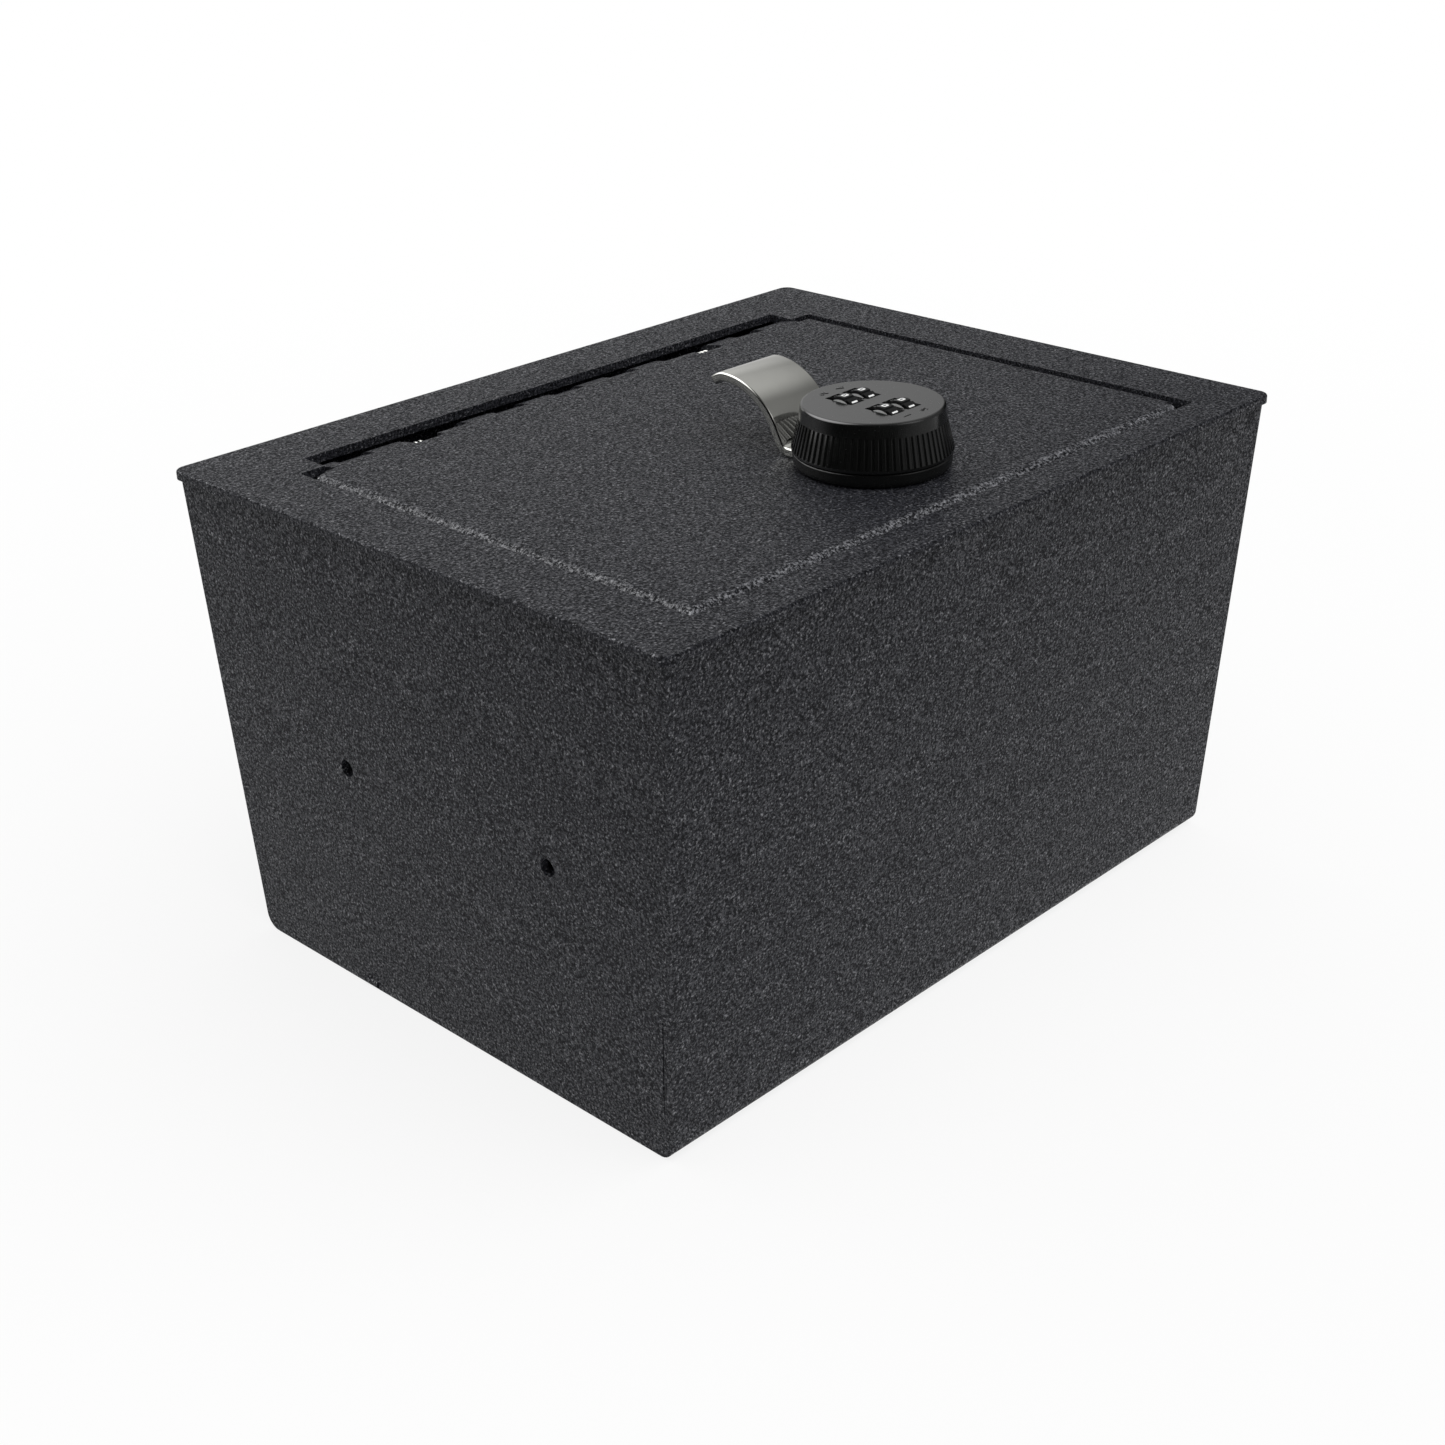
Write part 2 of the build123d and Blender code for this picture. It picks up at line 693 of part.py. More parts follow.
with BuildPart() as lock_body:
    with BuildSketch(lock_plane):
        Circle(base_ring_diameter / 2)
    extrude(amount=base_ring_height)
    ring_edges = lock_body.edges().filter_by(GeomType.CIRCLE).sort_by(Axis.Z)
    fillet(ring_edges[-1], base_ring_height / 8)
    fillet(ring_edges[0], base_ring_low_radius)
    # Recess for the handle's foot, higher where the foot starts to bend
    with BuildSketch(lock_plane):
        recess_width = handle_width + 4 * handle_seat_clearance
        recess_length = handle_tail_length + base_ring_diameter
        with Locations((0, recess_length / 2 - handle_tail_length - 4 * handle_seat_clearance)):
            Rectangle(recess_width, recess_length)
    extrude(amount=handle_thickness + handle_seat_clearance, mode=Mode.SUBTRACT)
    with BuildSketch(lock_plane):
        with Locations((0, handle_foot_length - handle_seat_clearance + base_ring_diameter / 2)):
            Rectangle(recess_width, base_ring_diameter)
    extrude(amount=handle_thickness + handle_bend_radius / 4, mode=Mode.SUBTRACT)
    with BuildSketch(Plane((lock_x, lock_y, lid_under - barrel_drop))):
        Circle(barrel_diameter / 2)
    extrude(amount=barrel_length + base_ring_height)
    with BuildSketch(Plane((lock_x, lock_y, lid_under - barrel_drop))):
        Circle(spindle_diameter / 2 + spindle_clearance)
    extrude(amount=barrel_length + base_ring_height, mode=Mode.SUBTRACT)
write(lock_body.part, "lock_body")

with BuildPart() as lock_washer:
    with BuildSketch(Plane((lock_x, lock_y, lid_under - washer_thickness))):
        Circle(washer_diameter / 2)
        Circle(barrel_diameter / 2 + barrel_clearance, mode=Mode.SUBTRACT)
    extrude(amount=washer_thickness)
write(lock_washer.part, "lock_washer")

with BuildPart() as lock_nut:
    with BuildSketch(Plane((lock_x, lock_y, lid_under - washer_thickness - nut_thickness))):
        RegularPolygon(nut_across_flats / 2, 6, major_radius=False)
        Circle(barrel_diameter / 2, mode=Mode.SUBTRACT)
    extrude(amount=nut_thickness)
write(lock_nut.part, "lock_nut")

# ---------------------------------------------------------------------------
# Knob
# ---------------------------------------------------------------------------

wheel_places = [
    (-wheel_spacing_x / 2, wheel_spacing_y / 2),
    (wheel_spacing_x / 2, wheel_spacing_y / 2),
    (-wheel_spacing_x / 2, -wheel_spacing_y / 2),
    (wheel_spacing_x / 2, -wheel_spacing_y / 2),
]
pocket_width = wheel_width + 2 * wheel_side_clearance
knob_plane = Plane((lock_x, lock_y, 0))

with BuildPart() as rib_groove:
    with BuildLine() as groove_line:
        skirt_fall = (knob_skirt_diameter - knob_band_diameter) / 2
        groove_run = rib_high - knob_bottom + box_height
        groove_low = (lock_x + knob_skirt_diameter / 2, lock_y, box_height + rib_low)
        groove_lean = skirt_fall * (rib_high - rib_low) / groove_run
        groove_high = (lock_x + knob_skirt_diameter / 2 - groove_lean, lock_y, box_height + rib_high)
        Line(groove_low, groove_high)
    with BuildSketch(Plane(origin=groove_low, z_dir=groove_line.line % 0)):
        Circle(rib_groove_radius)
    sweep()

with BuildPart() as knob_shell:
    with BuildSketch(Plane.XZ.offset(-lock_y)) as knob_section:
        with BuildLine():
            Polyline(
                (lock_x + knob_bore_radius, knob_bottom),
                (lock_x + knob_skirt_diameter / 2, knob_bottom),
                (lock_x + knob_skirt_diameter / 2, box_height + rib_low),
                (lock_x + knob_band_diameter / 2, box_height + rib_high),
                (lock_x + knob_shoulder_diameter / 2, knob_top),
                (lock_x, knob_top),
                (lock_x, knob_roof_under),
                (lock_x + knob_bore_radius, knob_roof_under),
                close=True,
            )
        make_face()
        shoulder = (lock_x + knob_shoulder_diameter / 2, knob_top)
        shoulder_point = knob_section.vertices().sort_by_distance((shoulder[0], shoulder[1], 0))[0]
        fillet(shoulder_point, knob_shoulder_radius)
        skirt = (lock_x + knob_skirt_diameter / 2, knob_bottom)
        skirt_point = knob_section.vertices().sort_by_distance((skirt[0], skirt[1], 0))[0]
        fillet(skirt_point, knob_skirt_radius)
    revolve(axis=Axis((lock_x, lock_y, 0), (0, 0, 1)))
    with BuildSketch(Plane((lock_x, lock_y, knob_roof_under))):
        with Locations(*wheel_places):
            Rectangle(pocket_width, wheel_window_length)
    extrude(amount=knob_roof, mode=Mode.SUBTRACT)
    # The wheels' round pockets carry on into the underside of the roof
    for place_x, place_y in wheel_places:
        with Locations((lock_x + place_x, lock_y + place_y, wheel_z)):
            Cylinder(
                wheel_radius + wheel_pocket_clearance,
                pocket_width,
                rotation=(0, 90, 0),
                mode=Mode.SUBTRACT,
            )
    with Locations((lock_x, lock_y, 0)):
        with PolarLocations(0, rib_count):
            add(rib_groove.part.moved(Location((-lock_x, -lock_y, 0))), mode=Mode.SUBTRACT)
write(knob_shell.part, "knob_shell")

core_bottom = knob_bottom
with BuildPart() as lock_core:
    with BuildSketch(Plane((lock_x, lock_y, core_bottom))):
        Circle(knob_bore_radius)
    extrude(amount=knob_roof_under - core_bottom)
    for place_x, place_y in wheel_places:
        with BuildSketch(Plane.YZ.offset(lock_x + place_x - pocket_width / 2)):
            with Locations((lock_y + place_y, wheel_z)):
                Circle(wheel_radius + wheel_pocket_clearance)
            with Locations((lock_y + place_y, wheel_z + knob_height / 2)):
                Rectangle(2 * (wheel_radius + wheel_pocket_clearance), knob_height)
        extrude(amount=pocket_width, mode=Mode.SUBTRACT)
    for row_y in (-wheel_spacing_y / 2, wheel_spacing_y / 2):
        with BuildSketch(Plane.YZ.offset(lock_x - axle_half_length)):
            with Locations((lock_y + row_y, wheel_z)):
                Circle(axle_radius)
            with Locations((lock_y + row_y, wheel_z + knob_height / 2)):
                Rectangle(2 * axle_radius, knob_height)
        extrude(amount=2 * axle_half_length, mode=Mode.SUBTRACT)
    with BuildSketch(Plane((lock_x, lock_y, cam_top))):
        Circle(spindle_diameter / 2)
    extrude(amount=core_bottom - cam_top)
    with BuildSketch(Plane((lock_x, lock_y, cam_bottom))):
        Rectangle(cam_square, cam_square)
    extrude(amount=cam_thickness)
    with BuildSketch(Plane((lock_x, lock_y, cam_bottom))):
        Circle(cam_screw_diameter / 2)
    extrude(amount=cam_screw_length, mode=Mode.SUBTRACT)
write(lock_core.part, "lock_core")

for row_name, row_y in (("front", -wheel_spacing_y / 2), ("rear", wheel_spacing_y / 2)):
    with BuildPart() as wheel_axle:
        with BuildSketch(Plane.YZ.offset(lock_x - axle_half_length)):
            with Locations((lock_y + row_y, wheel_z)):
                Circle(axle_radius)
        extrude(amount=2 * axle_half_length)
    write(wheel_axle.part, f"wheel_axle_{row_name}")

for number, (place_x, place_y) in enumerate(wheel_places, start=1):
    with BuildPart() as number_wheel:
        with BuildSketch(Plane.YZ.offset(lock_x + place_x - wheel_width / 2)):
            with Locations((lock_y + place_y, wheel_z)):
                Circle(wheel_radius)
                Circle(axle_radius + wheel_axle_clearance, mode=Mode.SUBTRACT)
                with PolarLocations(wheel_radius, wheel_numbers, start_angle=90 + 180 / wheel_numbers):
                    Circle(wheel_notch_radius, mode=Mode.SUBTRACT)
        extrude(amount=wheel_width)
    write(number_wheel.part, f"number_wheel_{number}")

with BuildPart() as detent_springs:
    pocket_floor = wheel_z - wheel_radius - wheel_pocket_clearance
    for place_x, place_y in wheel_places:
        with BuildSketch(Plane.YZ.offset(lock_x + place_x - detent_width / 2)):
            with Locations((lock_y + place_y, wheel_z)):
                inner_radius = wheel_radius + wheel_pocket_clearance - detent_thickness
                Circle(wheel_radius + wheel_pocket_clearance)
                Circle(inner_radius, mode=Mode.SUBTRACT)
            with Locations((lock_y + place_y, pocket_floor)):
                Rectangle(wheel_radius, 2 * detent_thickness, mode=Mode.INTERSECT)
        extrude(amount=detent_width)
write(detent_springs.part, "detent_springs")

# ---------------------------------------------------------------------------
# Cam and latch
# ---------------------------------------------------------------------------

with BuildPart() as cam:
    with BuildSketch(Plane((lock_x, lock_y, cam_bottom))):
        with BuildSketch(mode=Mode.PRIVATE) as cam_outline:
            Circle(cam_hub_diameter / 2)
            with Locations((drive_x - lock_x, drive_y - lock_y)):
                Circle(cam_boss_diameter / 2)
        make_hull(cam_outline.sketch_local.edges())
        Rectangle(cam_square, cam_square, mode=Mode.SUBTRACT)
        with Locations((drive_x - lock_x, drive_y - lock_y)):
            Circle(drive_pin_diameter / 2, mode=Mode.SUBTRACT)
    extrude(amount=cam_thickness)
write(cam.part, "cam")

with BuildPart() as cam_screw:
    with BuildSketch(Plane((lock_x, lock_y, screw_head_bottom))):
        Circle(cam_screw_head_diameter / 2)
    extrude(amount=cam_screw_head_height)
    fillet(cam_screw.edges().sort_by(Axis.Z)[0], cam_screw_head_height / 3)
    with BuildSketch(Plane((lock_x, lock_y, cam_bottom))):
        Circle(cam_screw_diameter / 2)
    extrude(amount=cam_screw_length)
    with BuildSketch(Plane((lock_x, lock_y, screw_head_bottom))):
        Rectangle(cam_screw_head_diameter, cam_screw_head_height)
    extrude(amount=cam_screw_head_height / 2, mode=Mode.SUBTRACT)
write(cam_screw.part, "cam_screw")

with BuildPart() as drive_pin:
    with BuildSketch(Plane((drive_x, drive_y, latch_bottom))):
        Circle(drive_pin_diameter / 2)
    extrude(amount=cam_top - latch_bottom)
write(drive_pin.part, "drive_pin")

with BuildPart() as latch_bar:
    with BuildSketch(Plane.YZ.offset(lock_x)):
        with BuildLine():
            Polyline(
                (latch_back_y, latch_top - latch_thickness / 2),
                (latch_ramp_back_y, latch_top - latch_thickness / 2),
                (latch_ramp_front_y, tongue_top - latch_thickness / 2),
                (latch_tip_y, tongue_top - latch_thickness / 2),
            )
        trace(line_width=latch_thickness)
    extrude(amount=latch_front_length / 2, both=True)
    # Narrow behind the ramp, and a gap between the two tongues
    shoulder_y = latch_ramp_front_y - latch_thickness
    with BuildSketch(Plane.XY.offset(latch_bottom)):
        with Locations((lock_x, (latch_back_y + latch_ramp_front_y) / 2)):
            side_strip = (latch_front_length - latch_body_length) / 2
            with GridLocations(latch_body_length + side_strip, 1, 2, 1):
                Rectangle(side_strip, latch_back_y - latch_ramp_front_y)
        with Locations((lock_x, (shoulder_y + latch_tip_y) / 2)):
            Rectangle(latch_front_length - 2 * latch_tongue_length, shoulder_y - latch_tip_y)
        with Locations(((lock_x + (drive_x - lock_x + crank_radius) / 2), drive_y)):
            slot_reach = crank_radius - (drive_x - lock_x)
            slot_radius = drive_pin_diameter / 2 + latch_slot_clearance
            SlotCenterToCenter(slot_reach, 2 * slot_radius)
    extrude(amount=lid_under - latch_bottom, mode=Mode.SUBTRACT)
write(latch_bar.part, "latch_bar")

for side, guide_name in ((-1, "left"), (1, "right")):
    wall_x = latch_body_length / 2 + guide_side_clearance
    lip_bottom = guide_lip_top - guide_sheet
    with BuildPart() as latch_guide:
        with BuildSketch(Plane.XZ.offset(-guide_back_y)):
            with BuildLine():
                Polyline(
                    (lock_x + side * (wall_x - guide_lip), guide_lip_top),
                    (lock_x + side * wall_x, guide_lip_top),
                    (lock_x + side * wall_x, lid_under),
                    (lock_x + side * (wall_x + guide_sheet + guide_foot), lid_under),
                    (lock_x + side * (wall_x + guide_sheet + guide_foot), lid_under - guide_sheet),
                    (lock_x + side * (wall_x + guide_sheet), lid_under - guide_sheet),
                    (lock_x + side * (wall_x + guide_sheet), lip_bottom),
                    (lock_x + side * (wall_x - guide_lip), lip_bottom),
                    close=True,
                )
            make_face()
        extrude(amount=guide_back_y - guide_front_y)
    write(latch_guide.part, f"latch_guide_{guide_name}")

print(f"latch travel {latch_travel:.3f} mm, hinge axis y {hinge_y:.3f} z {hinge_z:.3f}")
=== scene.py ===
"""Finishes for a steel cash box: powder coat, chrome finger pull, knob with number wheels.

Metres, +Z up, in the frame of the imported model. The lock is towards -Y and the hinge towards +Y.
"""

import math

import bpy
import numpy as np
from bpy.props import FloatProperty, FloatVectorProperty, IntProperty, PointerProperty
from mathutils import Matrix, Vector


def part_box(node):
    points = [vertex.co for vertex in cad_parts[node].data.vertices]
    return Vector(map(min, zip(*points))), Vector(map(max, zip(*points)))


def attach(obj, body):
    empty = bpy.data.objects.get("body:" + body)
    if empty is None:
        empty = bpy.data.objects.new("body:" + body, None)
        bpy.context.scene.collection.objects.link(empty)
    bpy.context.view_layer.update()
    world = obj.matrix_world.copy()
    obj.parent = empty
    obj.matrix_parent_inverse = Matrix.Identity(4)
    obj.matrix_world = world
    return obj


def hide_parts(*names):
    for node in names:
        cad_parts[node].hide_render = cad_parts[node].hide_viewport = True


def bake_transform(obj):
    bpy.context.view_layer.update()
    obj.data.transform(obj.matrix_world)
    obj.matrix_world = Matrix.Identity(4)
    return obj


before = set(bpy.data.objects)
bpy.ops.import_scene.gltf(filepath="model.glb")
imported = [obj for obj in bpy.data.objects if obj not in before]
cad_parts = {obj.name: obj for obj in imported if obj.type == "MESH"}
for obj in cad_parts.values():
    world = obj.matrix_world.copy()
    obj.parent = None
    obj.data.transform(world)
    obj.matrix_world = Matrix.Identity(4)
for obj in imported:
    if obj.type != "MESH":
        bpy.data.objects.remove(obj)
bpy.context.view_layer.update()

bl_info = {
    "name": "Cash box finishes",
    "version": (1, 0, 0),
    "blender": (4, 5, 0),
    "location": "View3D > Sidebar > Cash box",
    "description": "Dresses the packed cash box with its surfaces, numbers and springs",
    "category": "Object",
}

MM = 0.001
COATED = (
    "body_wrap",
    "end_panel_left",
    "end_panel_right",
    "rim_plate",
    "hinge_leaf",
    "lid_stop_left",
    "lid_stop_right",
)
PLATED = (
    "lock_washer",
    "lock_nut",
    "cam",
    "cam_screw",
    "latch_bar",
    "latch_guide_left",
    "latch_guide_right",
)
GROUND = ("hinge_pin", "wheel_axle_front", "wheel_axle_rear", "drive_pin")
STRIP = ("detent_springs",)
WHEELS = (1, 2, 3, 4)
# Points round one turn of a spring, round its wire, along its legs, round a core and across the floor
COIL_STEPS = 48
WIRE_STEPS = 16
LEG_STEPS = 12
RING_STEPS = 96
FLOOR_STEPS = 49
# Soft glows round the room: heading from +X and height above level in degrees, the cosine of the
# angle at which the glow has faded out, the strength that lights the object, and the strength in gloss
GLOWS = (
    (-62, 50, 0.45, 1.42, 0.00),
    (-50, 22, 0.45, 0.00, 0.24),
    (48, 28, 0.45, 0.30, 0.00),
    (58, 8, 0.80, 0.00, 0.66),
    (36, 54, 0.76, 0.00, 0.58),
    (100, 12, 0.45, 0.50, 0.10),
    (122, 42, 0.70, 0.20, 4.00),
    (-72, 36, 0.92, 0.00, 0.80),
    (215, 40, 0.45, 0.42, 0.00),
    (0, 90, 0.45, 0.45, 0.08),
)


# ---------------------------------------------------------------------------
# Sizes and colours
# ---------------------------------------------------------------------------


def length(name, description, default):
    """A property that holds a length in metres."""
    return FloatProperty(name=name, description=description, default=default, unit="LENGTH", precision=5)


def colour(name, description, default):
    """A property that holds a colour."""
    return FloatVectorProperty(
        name=name, description=description, default=default, size=3, min=0, max=1, subtype="COLOR"
    )


def share(name, description, default):
    """A property that holds a share from 0 to 1."""
    return FloatProperty(
        name=name, description=description, default=default, min=0, max=1, subtype="FACTOR"
    )


def angle(name, description, degrees):
    """A property that holds an angle in radians, with its default in degrees."""
    return FloatProperty(
        name=name, description=description, default=math.radians(degrees), subtype="ANGLE"
    )


class CoatSettings(bpy.types.PropertyGroup):
    """Textured powder coat on the sheet metal."""

    # Painted shade and highlight: the coat's hollows are painted darker and its grain tops lighter,
    # following the bump's height.
    low: colour("Low colour", "Colour in the coat's hollows", (0.0042, 0.0044, 0.0058))
    high: colour("High colour", "Colour on the coat's grains", (0.0325, 0.0338, 0.0415))
    # Painted glints: the brightest flecks and specks of the coat are painted in this colour.
    speck: colour("Speck colour", "Colour of the brightest grains", (0.34, 0.345, 0.37))
    grain: length("Grain", "Size of one grain of the texture", 0.9 * MM)
    relief: length("Relief", "Height of the grains", 0.50 * MM)
    roughness: share("Roughness", "Roughness of the coat", 0.32)
    # Painted glints: the share of coarse cells whose speck is painted bright.
    specks: share("Specks", "Share of the coarse cells that hold a bright speck", 0.12)
    # The fold's reach also sets the width of the painted highlight along the lid's folds.
    fold: length("Fold", "Reach of the thin powder from a folded edge", 2.5 * MM)
    # Painted highlight: shares by which the grains along the lid's left and front folds are painted
    # brighter.
    left_fold_painted_highlight: share("Left wear", "Brightness of the grains along the lid's left fold", 0.20)
    front_fold_painted_highlight: share("Front wear", "Brightness of the grains along the lid's front fold", 0.90)


class KnobSettings(bpy.types.PropertyGroup):
    """Black moulded knob and lock."""

    colour: colour("Colour", "Colour of the moulded knob", (0.0045, 0.0048, 0.0046))
    roughness: share("Roughness", "Roughness of the moulded knob", 0.14)
    mark_height: length("Mark height", "Height of the position marks on the knob's face", 2.9 * MM)
    mark_stroke: length("Mark stroke", "Width of the position marks' strokes", 0.42 * MM)
    mark_relief: length("Mark relief", "How far the position marks stand out", 0.12 * MM)
    mark_reach: length("Mark reach", "From the knob's axis to a row of position marks", 15.7 * MM)


class WheelSettings(bpy.types.PropertyGroup):
    """Number wheels."""

    colour: colour("Colour", "Colour of the wheels", (0.004, 0.0042, 0.0044))
    ink: colour("Ink", "Colour of the numbers and of the wheels' cores", (0.88, 0.885, 0.88))
    digit_height: length("Digit height", "Height of the numbers", 2.35 * MM)
    digit_width: length("Digit width", "Width of the numbers", 1.75 * MM)
    stroke: length("Stroke", "Width of the numbers' strokes", 0.56 * MM)
    relief: length("Relief", "How far the numbers stand out", 0.03 * MM)
    skin: length("Skin", "Thickness of the black skin round the white core", 0.95 * MM)
    core_bore: length("Core bore", "Radius of the hole in the white core", 2.2 * MM)
    digits: IntProperty(name="Digits", description="Numbers on each wheel", default=10)


class HandleSettings(bpy.types.PropertyGroup):
    """Chromed finger pull."""

    colour: colour("Colour", "Colour of the plate", (0.57, 0.57, 0.535))
    roughness: share("Roughness", "Roughness of the plate", 0.09)
    foot: length("Foot", "From the lock's axis to the first bend", 22.4 * MM)
    start: length("Start", "From the lock's axis to the visible start of the foot", 10.2 * MM)
    bend_radius: length("Bend radius", "Middle radius of the bend at the foot", 3.9 * MM)
    slope: angle("Slope", "Slope of the rise", 62)
    straight: length("Straight", "Length of the straight rise", 4.7 * MM)
    arch_radius: length("Arch radius", "Middle radius of the arch", 22.1 * MM)
    curl_radius: length("Curl radius", "Middle radius of the curl at the tip", 6.6 * MM)
    curl: angle("Curl", "How far the tip curls down", 50)
    thickness: length("Thickness", "Thickness of the strip", 2.8 * MM)
    edge_radius: length("Edge radius", "Rounding along the strip's edges", 0.6 * MM)
    corner_radius: length("Corner radius", "Rounding of the tip's corners", 1.2 * MM)


class SpringSettings(bpy.types.PropertyGroup):
    """Torsion springs on the hinge pin."""

    wire: length("Wire", "Diameter of the wire", 1.0 * MM)
    coil_radius: length("Coil radius", "Radius of the wire's middle line", 3.1 * MM)
    seat: length("Seat", "Gap between a leg and the sheet it presses on", 0.2 * MM)
    lid_reach: length("Lid reach", "Length of the leg under the lid", 10.0 * MM)
    leaf_reach: length("Leaf reach", "Length of the leg down the hinge leaf", 12.0 * MM)
    turns: IntProperty(name="Turns", description="Full turns of a coil", default=4)


class MetalSettings(bpy.types.PropertyGroup):
    """Bare and plated steel of the small parts."""

    ground: colour("Ground steel", "Colour of the pins and axles", (0.46, 0.46, 0.45))
    strip: colour("Strip steel", "Colour of the detent leaves", (0.42, 0.42, 0.40))
    wire: colour("Spring wire", "Colour of the hinge springs", (0.50, 0.50, 0.48))
    dull_plate: colour("Dull plate", "Colour of the zinc between its blooms", (0.50, 0.50, 0.49))
    bright_plate: colour("Bright plate", "Colour of the zinc's blooms", (0.68, 0.67, 0.63))


class StageSettings(bpy.types.PropertyGroup):
    """Floor and camera."""

    floor_width: length("Floor width", "Width of the floor", 1.9)
    floor_drop: length("Floor drop", "Gap between the box and the floor", 0.3 * MM)
    floor_colour: colour("Floor colour", "Colour of the floor", (0.93, 0.93, 0.93))
    floor_glow: share("Floor glow", "Share of the near floor's white that casts no shadow", 0.82)
    camera_place: FloatVectorProperty(
        name="Camera place",
        description="Where the camera stands",
        default=(-455.51 * MM, -435.26 * MM, 364.27 * MM),
        size=3,
        unit="LENGTH",
    )
    camera_heading: angle("Camera heading", "Where the camera looks, from +X", 44.364)
    camera_fall: angle("Camera fall", "How far the camera looks down", 26.061)
    camera_roll: angle("Camera roll", "How far the camera is turned about its view", -1.355)
    lens: FloatProperty(name="Lens", description="Focal length in millimetres", default=53.70)


class CashBoxSettings(bpy.types.PropertyGroup):
    """All the sizes and colours of the dressed cash box."""

    coat: PointerProperty(type=CoatSettings)
    knob: PointerProperty(type=KnobSettings)
    wheel: PointerProperty(type=WheelSettings)
    handle: PointerProperty(type=HandleSettings)
    spring: PointerProperty(type=SpringSettings)
    metal: PointerProperty(type=MetalSettings)
    stage: PointerProperty(type=StageSettings)


# ---------------------------------------------------------------------------
# Materials
# ---------------------------------------------------------------------------


class Signal:
    """A value that a material works out. Arithmetic on it adds the Math nodes that compute it."""

    def __init__(self, finish, socket):
        self.finish = finish
        self.socket = socket

    def maths(self, operation, first, second):
        """One Math node on two values."""
        return self.finish.node("ShaderNodeMath", {"operation": operation}, {0: first, 1: second})

    def __add__(self, other):
        return self.maths("ADD", self, other)

    __radd__ = __add__

    def __sub__(self, other):
        return self.maths("SUBTRACT", self, other)

    def __rsub__(self, other):
        return self.maths("SUBTRACT", other, self)

    def __mul__(self, other):
        return self.maths("MULTIPLY", self, other)

    __rmul__ = __mul__

    def __lt__(self, other):
        return self.maths("LESS_THAN", self, other)

    def __gt__(self, other):
        return self.maths("GREATER_THAN", self, other)

    def capped(self):
        """The value, or 1 where it is more."""
        return self.maths("MINIMUM", self, 1.0)


class Finish:
    """A node material, or the world, while it is put together."""

    def __init__(self, owner):
        self.owner = owner
        owner.use_nodes = True
        self.tree = owner.node_tree
        self.tree.nodes.clear()

    @classmethod
    def material(cls, name):
        """Starts a new material."""
        return cls(bpy.data.materials.new(name))

    def node(self, kind, setup=None, inputs=None, output=None):
        """Adds a node, sets it up, fills its sockets and returns the signal of one output."""
        made = self.tree.nodes.new(kind)
        for key, value in (setup or {}).items():
            setattr(made, key, value)
        for key, value in (inputs or {}).items():
            socket = self.pick(made.inputs, key)
            if isinstance(value, Signal):
                self.tree.links.new(value.socket, socket)
            elif hasattr(value, "__len__") and len(value) == 3 and socket.type == "RGBA":
                socket.default_value = (*value, 1.0)
            else:
                socket.default_value = value
        return Signal(self, self.pick(made.outputs, output)) if len(made.outputs) else None

    @staticmethod
    def pick(sockets, key):
        """The socket at a place in the list, or the first one in use, with that name if one is given."""
        if isinstance(key, int):
            return sockets[key]
        return next(s for s in sockets if s.enabled and key in (None, s.name))

    def place(self):
        """The point on the object, in metres."""
        return self.node("ShaderNodeTexCoord", output="Object")

    def stretched(self, point, scale):
        """The point with each axis scaled on its own."""
        return self.node(
            "ShaderNodeMapping", {"vector_type": "POINT"}, {"Vector": point, "Scale": scale}
        )

    def noise(self, point, size, detail=2.0, roughness=0.5):
        """Cloudy noise from 0 to 1, with features of a size in metres."""
        return self.node(
            "ShaderNodeTexNoise",
            {"noise_dimensions": "3D"},
            {"Vector": point, "Scale": 1 / size, "Detail": detail, "Roughness": roughness},
            "Fac",
        )

    def cells(self, point, size, output):
        """Scattered cells of a size in metres: the distance to a cell's middle, or its own colour."""
        return self.node(
            "ShaderNodeTexVoronoi", {"feature": "F1"}, {"Vector": point, "Scale": 1 / size}, output
        )

    def red(self, tint):
        """One channel of a colour, as a number."""
        return self.node("ShaderNodeSeparateColor", inputs={"Color": tint}, output="Red")

    def spread(self, signal, low, high, to_low=0.0, to_high=1.0):
        """A smooth step of a signal, from one value to another."""
        return self.node(
            "ShaderNodeMapRange",
            {"interpolation_type": "SMOOTHSTEP"},
            {"Value": signal, "From Min": low, "From Max": high, "To Min": to_low, "To Max": to_high},
            "Result",
        )

    def mix(self, factor, low, high):
        """A colour between two colours."""
        return self.node(
            "ShaderNodeMix", {"data_type": "RGBA"}, {"Factor": factor, "A": low, "B": high}, "Result"
        )

    def bump(self, height, relief, strength=1.0):
        """The normal of a surface whose height is relief times a signal."""
        return self.node(
            "ShaderNodeBump", {}, {"Height": height, "Distance": relief, "Strength": strength}, "Normal"
        )

    def surface(self, **sockets):
        """Ends the material in one principled shader, whose sockets are named with underscores."""
        named = {
            key.replace("_", " ").title().replace("Ior", "IOR"): value
            for key, value in sockets.items()
        }
        shader = self.node("ShaderNodeBsdfPrincipled", {}, named, "BSDF")
        self.node("ShaderNodeOutputMaterial", {}, {"Surface": shader})
        return self.owner


